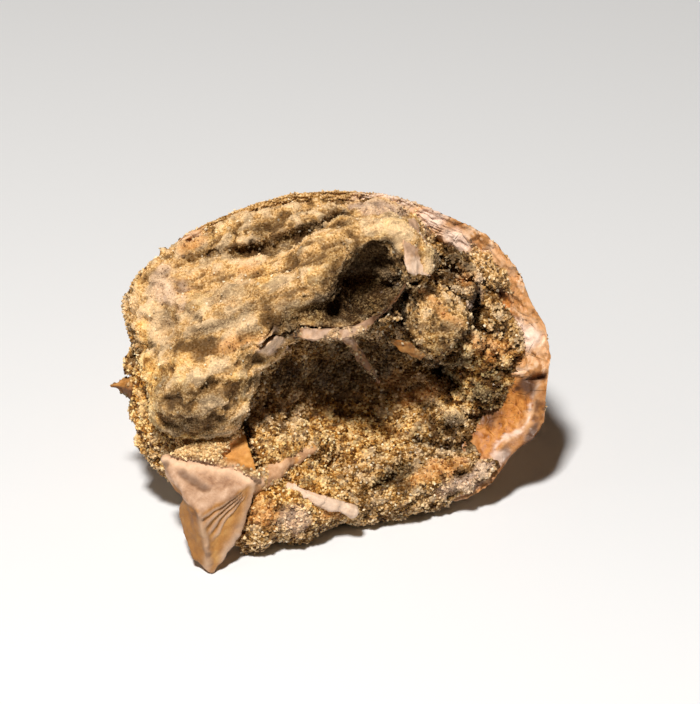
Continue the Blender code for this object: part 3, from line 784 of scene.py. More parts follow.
def shape_crown():
    """Chips the broken edge into flakes, spalls the enamel and wears the whole, and paints stains and painted
    shade on it.
    """
    obj = crown_skin()
    obj.data.transform(CROWN_TO_BREAK)
    points, normals = points_of(obj), normals_of(obj)
    enamel, broken, across, bared = (painted(obj, name) for name in ("enamel", "broken", "across", "bared"))
    step, spall, layer_tone = crown_relief(points, enamel, broken, across, bared)
    bitten = sum(depth * dome(points, *spot, power=3) for *spot, depth in BITES)
    bitten *= ease(-2.5, -0.5, points[:, 2]) * broken
    set_points(obj, kept_in(points + normals * step[:, None] - np.outer(bitten, (0, 0, 1))))

    dentine = 1.0 - enamel
    inner = bared * dentine * ease(0.25, 0.4, across + 0.2 * grit(points, 0.8, 3, seed=13.0))
    outer = bared * broken * ease(0.27, 0.2, across) * dentine
    hollow = within(points, ORANGE_HOLLOW, 0.2) * dentine
    line_at = across - 0.3 + 0.1 * grit(points, 0.9, 3, seed=16.0)
    line = np.exp(-((line_at / 0.03) ** 2)) * bared * dentine
    in_sight = ease(-6.0, -2.0, points[:, 2])
    white = spots(points, WHITE_ON_WALL) * in_sight * (1.0 - inner)
    dark = spots(points, STAIN_AND_SHADE_ON_WALL) * in_sight
    ridged = ease(0.1, 0.4, grit(points, 1.1, 4, seed=18.0))
    stuck, fine = sand_on_crown(points, enamel, across, hollow)
    paint(
        obj,
        tone=0.2 + 0.6 * layer_tone,
        bare=np.maximum(spall, dentine),
        orange=np.maximum.reduce([inner, hollow * broken, 0.6 * outer]),
        bleach=np.maximum(white, line),
        # Dark stains and painted shade: the dark spots, which are partly painted shade, the darker outer band
        # of the bared edge, and the bared wall darker toward its inner side.
        gloom=np.maximum.reduce([dark, (0.35 + 0.4 * ridged) * outer, 0.6 * inner * ease(0.5, 0.95, across)]),
        crest=0.65,
        sandy=stuck,
        soft=fine,
    )
    obj.data.shade_smooth()
    return obj


# ---------------------------------------------------------------- the sand


def trimmed_sand():
    """The sand's solid without the core that lies out of sight in the crown."""
    bm = cad_copy("sand_fill")
    slant = Matrix.Rotation(HIDDEN_SLANT, 3, Vector((1, -1, 0)).normalized())
    out = CROWN_TO_BREAK.to_3x3() @ slant @ Vector((0, 0, 1))
    cut = CROWN_TO_BREAK @ Vector((0, 0, -HIDDEN_CORE))
    everything = [*bm.verts, *bm.edges, *bm.faces]
    bmesh.ops.bisect_plane(bm, geom=everything, plane_co=cut, plane_no=out, clear_inner=True)
    bmesh.ops.holes_fill(bm, edges=[e for e in bm.edges if e.is_boundary])
    bmesh.ops.triangulate(bm, faces=bm.faces)
    bmesh.ops.recalc_face_normals(bm, faces=bm.faces)
    return object_from(bm, "sand")


def press_against(points, trees):
    """Moves sand that nearly touches a hard piece until it does, and gives 1 beside such a piece."""
    moved, beside = points.copy(), np.zeros(len(points))
    for i, point in enumerate(points.tolist()):
        for tree in trees:
            found, _, _, gap = tree.find_nearest(point, FILL_REACH)
            if found is not None and gap > 1e-6:
                way = (np.array(found) - points[i]) / gap
                moved[i] = points[i] + way * (gap + FILL_OVERLAP) * (1.0 - ease(0.34, FILL_REACH, gap))
                beside[i] = 1.0 - ease(0.36, FILL_REACH, gap)
                break
    return moved, beside


def drawn_back(points):
    """The sand with the hood's lower right edge drawn in, up and to the left."""
    out = ease(0.0, 2.0, points[:, 2])
    return sum((np.outer(dome(points, *spot) * out, move) for *spot, move in HOOD_EDGE), points)


def sand_zones(points):
    """How far each point is on the hood, on the band above it, on the right bank and on the knob."""
    u, v, w = points.T
    crevice_v = np.interp(u, [p[0] for p in CREVICE[::-1]], [p[1] for p in CREVICE[::-1]])
    above = ease(-0.1, 0.5, v - crevice_v) * ease(-0.2, 1.5, w)
    hood = ease(1.6, 3.4, w) * (1.0 - above) * (1.0 - ease(3.0, 4.5, u) * (1.0 - ease(5.0, 7.0, v)))
    hood *= ease(-6.8, -6.0, v)
    right = ease(5.5, 9.0, u) * (1.0 - hood)
    return hood, above, right, 1.0 - ease(0.8, 1.15, away_from(points, *KNOB_CALM))


def sand_crust(points, hood, above, right, knob):
    """How far the crust's beds, clods and crumbs stand out, and the masks of its pocks and hollows."""
    beds = grit(points, 1.0, 4, lean=BEDDING, stretch=2.0, seed=1.0)
    dapple = grit(points, 0.5, 3, lean=BEDDING, stretch=1.5, seed=2.0)
    clods = crumbs(points, 1.25, seed=1.0)
    crumb = crumbs(points, 0.55, seed=2.0)
    rough = grit(points, 0.8, 4, seed=3.0)
    right_beds = grit(points, 0.8, 4, lean=RIGHT_BEDDING, stretch=2.6, seed=4.0)
    pocks = ease(0.16, 0.42, grit(points, 0.62, 3, seed=14.0))
    hollows = ease(-0.05, 0.5, grit(points, 1.6, 3, lean=BEDDING, stretch=1.5, seed=15.0))
    calm = 1.0 - 0.45 * knob * ease(0.0, 1.0, points[:, 2])
    rise = hood * (0.28 * beds + 0.13 * dapple - 0.16 * hollows)
    rise += (1.0 - hood) * calm * (0.08 * clods + 0.08 * crumb + 0.2 * rough - 0.12 * pocks)
    rise += above * (0.1 * clods + 0.2 * rough)
    rise += right * calm * (0.42 * right_beds + 0.08 * clods - 0.34 * pocks)
    return rise, pocks, hollows


def sand_carved(points, facing):
    """How deep the furrows and pits are."""
    stir = 1.0 + 0.35 * grit(points, 0.8, 3, seed=8.0)
    carved = np.zeros(len(points))
    for line, width, depth in FURROWS:
        carved += depth * along(points, line, width, stir)
    for *spot, depth in PITS:
        carved += depth * dome(points, *spot, stir=stir)
    return carved * (facing * ease(-9.0, -6.0, points[:, 2]))


def sand_heaped(points, stirred, normals, facing, beside, scrap):
    """How far sand is heaped or worn down: mounds, the scrap's steps, the bank, the foot and the knob."""
    u, v, w = points.T
    heaped = sum(height * dome(points, *spot) for *spot, height in MOUNDS)
    heaped *= ease(0.2, 0.7, normals[:, 2]) * (1.0 - 0.25 * beside)
    heaped += scrap * (0.1 + 0.14 * terraces(1.6 * (v - 0.6 * u)) % 1.0)
    worn = 0.75 * dome(points, *FOOT, power=3)
    banked = within(stirred, BANK, 0.4) * facing
    heaped += banked * np.maximum(0.0, BANK_LEVEL - w - heaped) - worn * np.maximum(0.0, w - FOOT_HEIGHT)
    block = within(stirred, KNOB_BLOCK, 0.25) * facing * (1.0 - 0.7 * beside)
    fall = np.where(v > KNOB_CREST[0], 0.25 * (KNOB_CREST[0] - v), 0.5 * (KNOB_CREST[0] - v))
    return heaped + block * (KNOB_CREST[1] - fall - w)


def sand_in_sight(points):
    """1 where the sand is outside the crown or open to the bowl, 0 where it is hidden."""
    to_crown = CROWN_TO_BREAK.inverted()
    depth = -np.array([(to_crown @ Vector(p)).z for p in points.tolist()])
    u, v, _ = points.T
    deepest = SEEN_DEPTH[0] + SEEN_DEPTH[1] * wall_gone(np.arctan2(v - RIM_MIDDLE.y, u - RIM_MIDDLE.x))
    from_middle = np.hypot(u / SEEN_INSIDE[0], v / SEEN_INSIDE[1])
    return np.maximum(1.0 - ease(-0.8, 0.4, depth - deepest), 1.0 - ease(0.9, 1.02, from_middle))


def shape_sand():
    """Lumps, ledges, crumbs, furrows and pits over the cemented sand, and its stains, painted shade and
    painted light.
    """
    obj = trimmed_sand()
    remesh(obj, SAND_VOXEL)
    others = [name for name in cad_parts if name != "sand_fill"]
    points, beside = press_against(points_of(obj), cad_trees(others))
    points = drawn_back(points)
    set_points(obj, points)
    normals = normals_of(obj)
    facing = ease(0.1, 0.5, normals[:, 2])
    stirred = wobbled(points, 1.0, 0.4, seed=53.0)
    scrap = within(wobbled(points, 0.8, 0.3, seed=51.0), STEPPED_SCRAP, 0.1) * facing

    hood, above, right, knob = sand_zones(points)
    rise, pocks, hollows = sand_crust(points, hood, above, right, knob)
    # Painted light and shade: paler where the crust rises and browner where it sinks.
    crest = ease(-0.26, 0.2, rise)
    rise += 0.45 * grit(points, 2.6, 3, lean=BEDDING, stretch=1.8, seed=12.0) * hood
    rise = np.where(rise > 0.0, rise * (1.0 - 0.9 * beside), rise)
    carved = sand_carved(points, facing)
    heaped = sand_heaped(points, stirred, normals, facing, beside, scrap)
    shift = np.outer(heaped - carved * 0.4, (0, 0, 1))
    set_points(obj, kept_in(points + normals * (rise * (1.0 - 0.8 * scrap) - carved * 0.6)[:, None] + shift))

    in_cave = within(stirred, CAVE, 0.75) * ease(8.6, 5.2, points[:, 1])
    # Painted shade: darker in pocks, furrows and pits, in the hood's hollows, in the cave, on the knob's
    # lower face and in the shade spots.
    shades = (
        (0.4 + 0.3 * right) * (1.0 - hood) * pocks + 0.75 * ease(0.1, 0.7, carved),
        0.45 * hollows * hood,
        in_cave,
        0.35 * within(stirred, KNOB_FACE, 0.3),
        0.86 * spots(points, DEEP_SHADE_ON_SAND, seed=9.0),
        0.65 * spots(points, SOFT_SHADE_ON_SAND, 0.6, seed=10.0),
    )
    seen = sand_in_sight(points)
    paint(
        obj,
        crest=np.maximum(crest, 0.3 * crest + 0.75 * spots(points, LIT_SAND, 0.6, seed=11.0)),
        gloom=np.maximum.reduce(shades),
        rust=0.85 * spots(points, RUST_ON_SAND, 0.5, seed=4.0) * facing,
        bleach=np.maximum(0.9 * spots(points, PALE_ON_SAND, 0.5, seed=5.0) * facing, scrap),
        golden=spots(points, GOLD_ON_SAND, 0.5, seed=6.0),
        soft=np.maximum.reduce([hood, 0.8 * above, 0.6 * knob * facing]),
        sandy=seen * (1.0 - scrap),
    )
    thin_hidden(obj, seen)
    obj.data.shade_smooth()
    return obj


def thin_hidden(obj, seen):
    """Fewer faces where the skin lies out of sight inside the crown."""
    group = obj.vertex_groups.new(name="hidden")
    for level in range(5):
        some = np.flatnonzero((seen < 0.05) & (np.arange(len(seen)) % 5 == level))
        group.add(some.tolist(), 1.0, "REPLACE")
    modifier = obj.modifiers.new("Thin", "DECIMATE")
    modifier.ratio = HIDDEN_THINNED
    modifier.vertex_group = group.name
    modifier.vertex_group_factor = 100.0
    bake_modifiers(obj)
    obj.vertex_groups.clear()


# ---------------------------------------------------------------- the grains


GRAIN_INPUTS = {
    "Geometry": "Geometry",
    "Spacing": "Float",
    "Smallest": "Float",
    "Largest": "Float",
    "Raise": "Float",
    "Seed": "Int",
    "Mask": "String",
    "Finish": "Material",
}


def grain_coat_tree():
    """Scatters small crystals over the skin that a mask shows, each turned its own way."""
    tree = bpy.data.node_groups.new("grain_coat", "GeometryNodeTree")
    for name, kind in GRAIN_INPUTS.items():
        tree.interface.new_socket(name, in_out="INPUT", socket_type="NodeSocket" + kind)
    tree.interface.new_socket("Geometry", in_out="OUTPUT", socket_type="NodeSocketGeometry")

    def add(kind, inputs=None, **settings):
        return noded(tree, kind, inputs, **settings).outputs

    given = add("NodeGroupInput")
    mask = add("GeometryNodeInputNamedAttribute", {"Name": given["Mask"]}, data_type="FLOAT")
    where = {"Mesh": given["Geometry"], "Distance Min": given["Spacing"], "Seed": given["Seed"]}
    where |= {"Density Max": DENSEST, "Density Factor": mask["Attribute"]}
    scattered = add("GeometryNodeDistributePointsOnFaces", where, distribute_method="POISSON")
    lift = add("ShaderNodeVectorMath", {0: scattered["Normal"], "Scale": given["Raise"]}, operation="SCALE")
    settled = add("GeometryNodeSetPosition", {"Geometry": scattered["Points"], "Offset": lift["Vector"]})
    crystal = add("GeometryNodeMeshUVSphere", {"Segments": 4, "Rings": 2, "Radius": 1.0})
    whole_turns = {"Max": (2 * math.pi,) * 3, "Seed": given["Seed"]}
    turn = add("FunctionNodeRandomValue", whole_turns, data_type="FLOAT_VECTOR")
    sizes = {"Min": given["Smallest"], "Max": given["Largest"], "Seed": given["Seed"]}
    size = add("FunctionNodeRandomValue", sizes, data_type="FLOAT_VECTOR")
    lying = {"Points": settled["Geometry"], "Rotation": turn["Value"], "Scale": size["Value"]}
    grains = add("GeometryNodeInstanceOnPoints", {**lying, "Instance": crystal["Mesh"]})
    tone = add("FunctionNodeRandomValue", {"Seed": TONE_SEED}, data_type="FLOAT")
    toned = {"Name": "tone", "Geometry": grains["Instances"], "Value": tone[1]}
    kept = add("GeometryNodeStoreNamedAttribute", toned, data_type="FLOAT", domain="INSTANCE")
    real = add("GeometryNodeRealizeInstances", {"Geometry": kept["Geometry"]})
    finished = {"Geometry": real["Geometry"], "Material": given["Finish"]}
    add("NodeGroupOutput", {"Geometry": add("GeometryNodeSetMaterial", finished)["Geometry"]})
    return tree


def grain_coat(carrier, tree, name, sizes, seed, mask, finish):
    """One kind of grain over the carrier, as a mesh of its own."""
    host = bpy.data.objects.new(name, carrier.data)
    bpy.context.scene.collection.objects.link(host)
    modifier = host.modifiers.new("Grains", "NODES")
    modifier.node_group = tree
    given = {**sizes, "Seed": seed, "Mask": mask, "Finish": finish}
    for socket in tree.interface.items_tree:
        if socket.in_out == "INPUT" and socket.name in given:
            modifier[socket.identifier] = given[socket.name]
    bpy.context.view_layer.update()
    graph = bpy.context.evaluated_depsgraph_get()
    grains = bpy.data.meshes.new_from_object(host.evaluated_get(graph))
    host.modifiers.clear()
    host.data = grains
    host.data.shade_flat()
    return host


# ---------------------------------------------------------------- the splinters


def splinter_fan(points, moved, face, left, facing):
    """Where the fan of ridges lies below the pale face, and where each ridge stands up."""
    angle = np.arctan2(points[:, 1] - FAN_FROM[1], points[:, 0] - FAN_FROM[0]) % (2 * math.pi)
    angle = angle + 0.04 * grit(points, 1.6, 2, seed=36.0)
    reach = np.hypot(moved[:, 0] - FAN_FROM[0], moved[:, 1] - FAN_FROM[1])
    first, last = FAN_SPREAD
    on_fan = ease(first, first + 0.06, angle) * ease(last, last - 0.06, angle)
    on_fan *= ease(0.9, 1.7, reach) * ease(5.4, 4.2, reach) * (1.0 - face) * (1.0 - left) * facing
    saw = ((angle - first) / FAN_STEP) % 1.0
    return on_fan, ease(0.1, 0.45, saw) * (1.0 - ease(0.6, 0.95, saw))


def shape_corner_splinter():
    """The big splinter: a smooth pale face, a fan of ridges below it, and orange facets down to the point."""
    obj = object_from(cad_copy("corner_splinter"), "splinter")
    remesh(obj, SPLINTER_VOXEL, smoothing=3)
    points, normals = points_of(obj), normals_of(obj)
    moved = wobbled(points, 1.4, 0.22, seed=33.0)
    u, v = moved[:, 0], moved[:, 1]
    facing = ease(-0.1, 0.35, normals[:, 2])
    face = within(moved, PALE_FACE, 0.14) * facing
    left = within(moved, LEFT_FACET, 0.15)
    shoulder = within(moved, SHOULDER, 0.3)
    arm = ease(-5.4, -4.9, u)
    on_fan, ridge = splinter_fan(points, moved, face, left, facing)
    spine = along(moved, SPINE, 0.24) * facing
    streak = along(moved, PINK_STREAK, 0.26) * facing
    edge = along(moved, RIGHT_EDGE, 0.3) * facing
    top = np.interp(u, [p[0] for p in FACE_TOP], [p[1] for p in FACE_TOP])
    brim = np.exp(-(((v - top + 0.3) / 0.3) ** 2)) * ease(-5.2, -5.7, u) * facing
    smudge = spots(points, FACE_SMUDGES, 0.5)
    below = (1.0 - face) * ease(-8.2, -8.8, v) * (1.0 - arm)

    step = 0.1 * face + 0.1 * brim - 0.14 * smudge * face
    step += on_fan * (0.15 * ridge - 0.07) + 0.16 * spine + 0.14 * streak + 0.08 * edge - 0.1 * left
    step += 0.3 * arm * grit(points, 0.9, 4, lean=32.0, stretch=2.5, seed=34.0)
    step += 0.16 * grit(points, 2.2, 3, seed=31.0) + 0.07 * grit(points, 0.6, 3, seed=32.0)
    notch = np.exp(-(((v + 9.5) / 0.8) ** 2)) * ease(-10.2, -11.3, points[:, 0])
    over = ease(-0.15, 0.5, v - top) * (1.0 - shoulder) * (1.0 - arm) * facing
    shift = np.outer(0.6 * notch, (1, 0, 0)) + np.outer(over * 1.2, (0, 0, 1))
    set_points(obj, points + normals * step[:, None] + shift)

    # The fan's ridges are painted paler and its troughs darker, painted light and painted shade over the real
    # ridges; the left facet is darkened as painted shade, and the smudges are stains.
    pale = np.maximum.reduce([0.75 * brim, 0.7 * streak, 0.5 * edge, 0.5 * spine, 0.6 * on_fan * ridge])
    on_arm = 0.25 * arm + arm * 0.6 * ease(0.1, 0.5, grit(points, 1.0))
    orange = np.maximum.reduce([below, shoulder, 0.8 * brim, on_arm])
    caught = arm * ease(0.8, 0.4, normals[:, 2] + 0.9 * grit(points, 0.7, 3, seed=35.0))
    beside = ease(0.05, 0.4, u - np.interp(v, [-12.2, -10.8, -8.8], [-6.5, -5.95, -5.45])) * below
    paint(
        obj,
        orange=orange * (1.0 - 0.75 * pale * (1.0 - brim)),
        bleach=pale,
        gloom=np.maximum.reduce([0.75 * smudge, 0.5 * left, 0.35 * on_fan * (1.0 - ridge), 0.35 * below]),
        tone=0.5 + grit(points, 0.8),
        sandy=np.maximum.reduce([over, caught, 0.8 * beside]),
        # The sand over the face is painted golden and light, partly painted light where it lies in the hood's
        # shadow.
        golden=0.9 * over,
        crest=0.9,
    )
    obj.data.shade_smooth()
    return obj


def shape_shard(node, voxel, tints, seed, lift=0.0, grow=1.0, dusty=0.0, ragged=0.14, swell=lambda u: 0.0):
    """A smaller shard of wall, lightly stepped. tints gives its orange, bleach, and dark stains and painted
    shade at each (u, v).
    """
    obj = object_from(cad_copy(node), node)
    remesh(obj, voxel, smoothing=2)
    points, normals = points_of(obj), normals_of(obj)
    points = (points - points.mean(0)) * grow + points.mean(0)
    height, tone = chips(points, 0.9, seed=seed)
    u, v, _ = points.T
    orange, bleach, gloom = tints(u, v)
    step = 0.09 * height + ragged * grit(points, 1.1, 5, seed=seed + 1.0) + swell(u)
    set_points(obj, points + normals * step[:, None] + (0.0, 0.0, lift))
    speck = ease(0.0, 0.4, grit(points, 0.7, 3, seed=seed + 2.0))
    paint(
        obj,
        orange=orange + 0.3 * speck,
        bleach=bleach * (1.0 - 0.4 * speck),
        gloom=gloom + 0.3 * ease(0.0, 0.4, grit(points, 0.5, 3, seed=seed + 3.0)),
        tone=tone,
        sandy=dusty * ease(0.0, 0.25, grit(points, 0.8, 3, seed=seed + 4.0)),
        soft=0.0,
        crest=0.7,
    )
    obj.data.shade_smooth()
    return obj


def lining_tints(u, v):
    """A red left end, an orange arc round the cave, a brown prong, and a paler bar between them. The dark on
    the prong and on the arc round the cave is partly painted shade.
    """
    end, prong = ease(-2.1, -2.5, u), ease(1.3, 0.7, v)
    orange = 0.9 * end + 0.7 * ease(2.4, 3.6, u) + 0.5 * prong
    bleach = 0.4 * ease(1.2, 1.5, v) * ease(2.4, 1.4, u) * ease(-2.5, -2.0, u)
    gloom = 0.15 + 0.65 * end + 0.75 * prong + 0.8 * ease(1.8, 3.2, u)
    return orange, bleach, gloom


def tapered(chip):
    """The edge chip, narrowed to a point at its outer end."""
    points = points_of(chip)
    middle = points.mean(0)
    narrowed = 1.0 - 0.75 * ease(middle[0] + 0.5, middle[0] - 0.8, points[:, 0])
    points[:, 1:] = middle[1:] + (points[:, 1:] - middle[1:]) * narrowed[:, None]
    set_points(chip, points)
    return chip


# Paler toward its lower end, partly its own pink and partly painted light.
def flake_tints(u, v):
    return 0.1, 0.3 + 0.9 * ease(7.4, 6.4, v), 0.0


# Darker toward its lower end: painted shade under the chip.
def chip_tints(u, v):
    return 0.9, 0.0, 0.2 + 0.8 * ease(-1.6, -2.2, v)


def thinned_arc(u):
    return -0.1 - 0.12 * ease(2.0, 3.4, u)


def shape_small_shards():
    """The thin shard round the cave, the pale one in the bowl, the flake, the amber shard and the chip."""
    return {
        "cave_lining": shape_shard("cave_lining", 0.09, lining_tints, 41, dusty=1.2, swell=thinned_arc),
        "floor_splinter": shape_shard("floor_splinter", 0.07, lambda u, v: (0.0, 1.3, -0.2), 42, 0.15, 1.1),
        "hood_flake": shape_shard("hood_flake", 0.09, flake_tints, 43, lift=0.8, grow=1.14),
        "knob_shard": shape_shard("knob_shard", 0.09, lambda u, v: (0.35, 0.0, 0.45), 44, dusty=0.5),
        "edge_chip": tapered(shape_shard("edge_chip", 0.07, chip_tints, 45, dusty=1.0, ragged=0.4)),
    }


# ---------------------------------------------------------------- finishes


class Finish:
    """Builds one material, with its patterns in millimetres in the break frame."""

    def __init__(self, name):
        self.material = bpy.data.materials.new(name)
        self.material.use_nodes = True
        self.tree = self.material.node_tree
        to_break = {
            "Vector": self.add("TexCoord")["Object"],
            "Scale": (1 / MM,) * 3,
            "Rotation": (-BREAK_LEAN, 0.0, 0.0),
            "Location": TO_BREAK.translation,
        }
        self.place = self.add("Mapping", to_break)["Vector"]

    def add(self, kind, inputs=None, **settings):
        return noded(self.tree, "ShaderNode" + kind, inputs, **settings).outputs

    def squeezed(self, scale, place=None):
        """The break frame, or another place, scaled along each axis."""
        return self.add("Mapping", {"Vector": place or self.place, "Scale": scale})["Vector"]

    def drawn_out(self, lean, stretch):
        """The break frame turned by lean degrees and squeezed along that direction."""
        turn = self.add("Mapping", {"Vector": self.place, "Rotation": (0.0, 0.0, -math.radians(lean))})
        return self.squeezed((1.0 / stretch, 1.0, 1.0), turn["Vector"])

    def clouds(self, length, detail=4.0, roughness=0.55, distortion=0.0, place=None):
        kind = {"Scale": 1.0 / length, "Detail": detail, "Roughness": roughness, "Distortion": distortion}
        return self.add("TexNoise", {"Vector": place or self.place, **kind})["Fac"]

    def cells(self, length, feature, place):
        return self.add("TexVoronoi", {"Vector": place, "Scale": 1.0 / length}, feature=feature)["Distance"]

    def warped(self, length, amount):
        """The break frame pushed about by soft noise, for ragged cells."""
        noise_colour = self.add("TexNoise", {"Vector": self.place, "Scale": 1.0 / length})["Color"]
        return self.add(
            "VectorMath", {0: noise_colour, 1: (amount,) * 3, 2: self.place}, operation="MULTIPLY_ADD"
        )[0]

    def mask(self, name, strength=1.0):
        found = self.add("Attribute", attribute_name=name)["Fac"]
        return found if strength == 1.0 else self.sums("MULTIPLY", found, strength)

    def sums(self, operation, a, b):
        return self.add("Math", {0: a, 1: b}, operation=operation)[0]

    def mean(self, a, share, b):
        """a and b added in these shares, which make 1."""
        return self.sums("ADD", self.sums("MULTIPLY", a, share), self.sums("MULTIPLY", b, 1.0 - share))

    def between(self, value, low, high, start=0.0, end=1.0):
        """value moved from low..high to start..end, with an easy curve."""
        ends = {"From Min": low, "From Max": high, "To Min": start, "To Max": end}
        return self.add("MapRange", {"Value": value, **ends}, interpolation_type="SMOOTHSTEP")["Result"]

    def tones(self, value, *stops):
        """A colour for each value, through (place, colour) stops."""
        node = noded(self.tree, "ShaderNodeValToRGB", {"Fac": value})
        ramp = node.color_ramp
        while len(ramp.elements) < len(stops):
            ramp.elements.new(0.5)
        for element, (place, colour) in zip(ramp.elements, stops):
            element.position = place
            element.color = (*colour, 1.0)
        return node.outputs["Color"]

    def blend(self, share, under, over, mode="MIX"):
        under, over = ((*c, 1.0) if isinstance(c, tuple) else c for c in (under, over))
        return self.add("Mix", {"Factor": share, 6: under, 7: over}, data_type="RGBA", blend_type=mode)[2]

    def relief(self, height, distance, strength, under=None):
        inputs = {"Height": height, "Distance": distance * MM, "Strength": strength}
        if under is not None:
            inputs["Normal"] = under
        return self.add("Bump", inputs)["Normal"]

    def surface(self, colour, roughness, normal, specular, constants=None):
        sockets = {"Base Color": colour, "Roughness": roughness, "Normal": normal}
        sockets |= {"Specular IOR Level": specular, **(constants or {})}
        give(self.tree, self.tree.nodes["Principled BSDF"], sockets)
        return self.material


def crest_light_and_crease_shade(f, body):
    """Painted shade and painted light: brown in the creases of the sand and cream on its crests."""
    body = f.blend(f.between(f.mask("crest"), 0.5, 0.05, 0.0, 0.8), body, DARK_SPECK_AND_CREASE_SHADE)
    return f.blend(f.between(f.mask("crest"), 0.55, 1.0, 0.0, 0.5), body, (0.92, 0.72, 0.48))


def gilded(f, body):
    """Golden in broad patches, more so where the mask says, which is partly painted light on sand that lies
    in shadow.
    """
    broad = f.between(f.clouds(3.2, 3.0, 0.6), 0.5, 0.68, 0.0, 0.35)
    share = f.sums("MAXIMUM", broad, f.mask("golden", 0.55))
    return f.blend(share, body, f.blend(1.0, body, (1.0, 0.72, 0.36), "SOFT_LIGHT"))


def cemented_sand_finish():
    """Packed sand: tan and cream specks over brown, with olive mottles, rusty stains, painted shade and
    painted highlights.
    """
    f = Finish("cemented_sand")
    speck = f.clouds(0.16, 2.0, 0.6)
    mottle = f.clouds(0.75, 4.0, 0.6, place=f.drawn_out(BEDDING, 2.0))
    body = f.tones(speck, (0.36, DARK_SPECK_AND_CREASE_SHADE), (0.45, BROWN_SAND), (0.53, TAN_SAND), (0.65, CREAM_SAND))
    soft = f.tones(speck, (0.3, (0.36, 0.185, 0.055)), (0.5, (0.66, 0.39, 0.15)), (0.68, (0.92, 0.64, 0.33)))
    body = f.blend(f.mask("soft"), body, soft)
    body = crest_light_and_crease_shade(f, body)
    body = gilded(f, body)
    body = f.blend(f.between(mottle, 0.51, 0.65, 0.0, 0.6), body, OLIVE_GREY)
    body = f.blend(f.mask("rust", 0.8), body, f.blend(speck, RUST_ORANGE, (0.82, 0.46, 0.18)))
    body = f.blend(f.mask("bleach", 0.6), body, f.blend(speck, (0.6, 0.42, 0.3), PINK_WHITE))
    # Painted shade from the mask.
    dark = f.sums("MULTIPLY", f.mask("gloom"), f.between(speck, 0.7, 0.4, 0.6, 1.0))
    body = f.blend(dark, body, STAIN_AND_SHADE_BROWN)
    rough = f.between(speck, 0.3, 0.7, 0.95, 0.75)
    bump = f.relief(speck, 0.12, 0.7)
    return f.surface(body, rough, bump, 0.2)


def grain_finish(name, tones, roughness):
    """Loose grains: each has its own tone, which stains, painted shade in hollows and painted light on crests
    then change.
    """
    f = Finish(name)
    tone = f.mask("tone")
    body = f.tones(tone, *zip((0.12, 0.5, 0.88), tones))
    body = crest_light_and_crease_shade(f, body)
    body = gilded(f, body)
    rusty = f.tones(tone, (0.1, (0.3, 0.1, 0.02)), (0.55, RUST_ORANGE), (0.95, (0.86, 0.52, 0.22)))
    body = f.blend(f.mask("rust", 0.85), body, rusty)
    chalky = f.tones(tone, (0.1, (0.5, 0.34, 0.24)), (0.6, PINK_WHITE))
    body = f.blend(f.mask("bleach", 0.6), body, chalky)
    mottle = f.clouds(0.75, 4.0, 0.6, place=f.drawn_out(BEDDING, 2.0))
    body = f.blend(f.between(mottle, 0.52, 0.66, 0.0, 0.55), body, OLIVE_GREY)
    # Painted shade and dark stains from the mask.
    body = f.blend(f.mask("gloom", 0.85), body, STAIN_AND_SHADE_BROWN)
    speck = f.clouds(0.07, 2.0)
    rough = f.between(speck, 0.3, 0.7, roughness + 0.15, roughness - 0.1)
    return f.surface(body, rough, f.relief(speck, 0.03, 0.5), 0.25)


def crown_finish():
    """Honey enamel over orange dentine, crackled along the tooth, with chalky patches and dark patches that
    are partly stains and partly painted shade.
    """
    f = Finish("tooth_wall")
    along = f.squeezed((1.0, 1.0, 0.16))
    streaks = f.clouds(0.9, 5.0, 0.6, 0.6, place=along)
    clouds = f.clouds(5.0, 4.0)
    enamel = f.tones(
        streaks,
        (0.28, (0.17, 0.066, 0.018)),
        (0.45, (0.42, 0.19, 0.055)),
        (0.6, (0.62, 0.34, 0.13)),
        (0.78, (0.8, 0.56, 0.3)),
    )
    enamel = f.blend(f.between(clouds, 0.45, 0.7, 0.0, 0.55), enamel, (0.2, 0.085, 0.03))
    cracks = f.cells(1.5, "DISTANCE_TO_EDGE", along)
    crack = f.between(cracks, 0.0, 0.045, 1.0, 0.0)
    crack = f.sums("MULTIPLY", crack, f.between(f.clouds(2.5), 0.42, 0.6))
    enamel = f.blend(f.sums("MULTIPLY", crack, 0.8), enamel, (0.07, 0.025, 0.008))
    layers = f.clouds(0.5, 4.0, 0.65)
    dentine = f.tones(
        f.mean(f.mask("tone"), 0.55, layers),
        (0.18, (0.28, 0.1, 0.024)),
        (0.38, (0.56, 0.26, 0.085)),
        (0.56, (0.7, 0.41, 0.22)),
        (0.78, (0.84, 0.6, 0.43)),
    )
    body = f.blend(f.mask("bare"), enamel, dentine)
    inner = f.tones(layers, *ORANGE_WALL)
    fleck = f.between(f.clouds(0.22, 3.0, 0.6), 0.62, 0.68)
    inner = f.blend(f.sums("MULTIPLY", fleck, 0.8), inner, (0.08, 0.03, 0.01))
    body = f.blend(f.mask("orange"), body, inner)
    speck = f.clouds(0.16, 2.0, 0.6)
    sand = f.tones(speck, (0.30, BROWN_SAND), (0.5, TAN_SAND), (0.66, CREAM_SAND))
    body = f.blend(f.between(f.mask("sandy"), 0.3, 0.8), body, sand)
    white = f.blend(layers, (0.76, 0.5, 0.38), (0.95, 0.8, 0.7))
    body = f.blend(f.mask("bleach", 0.85), body, white)
    # Dark stains and painted shade from the mask.
    body = f.blend(f.mask("gloom", 0.93), body, (0.07, 0.025, 0.01))
    rough = f.between(layers, 0.3, 0.7, 0.22, 0.42)
    rough = f.sums("ADD", rough, f.mask("bare", 0.25))
    bump = f.relief(f.sums("SUBTRACT", f.sums("MULTIPLY", streaks, 0.5), crack), 0.06, 0.8)
    bump = f.relief(layers, 0.08, 0.5, under=bump)
    scaly = f.cells(0.55, "SMOOTH_F1", f.warped(0.5, 0.35))
    scaly = f.sums("MULTIPLY", scaly, f.mask("broken"))
    bump = f.relief(scaly, 0.35, 0.6, under=bump)
    return f.surface(body, rough, bump, 0.5, {"Coat Weight": 0.12, "Coat Roughness": 0.2})


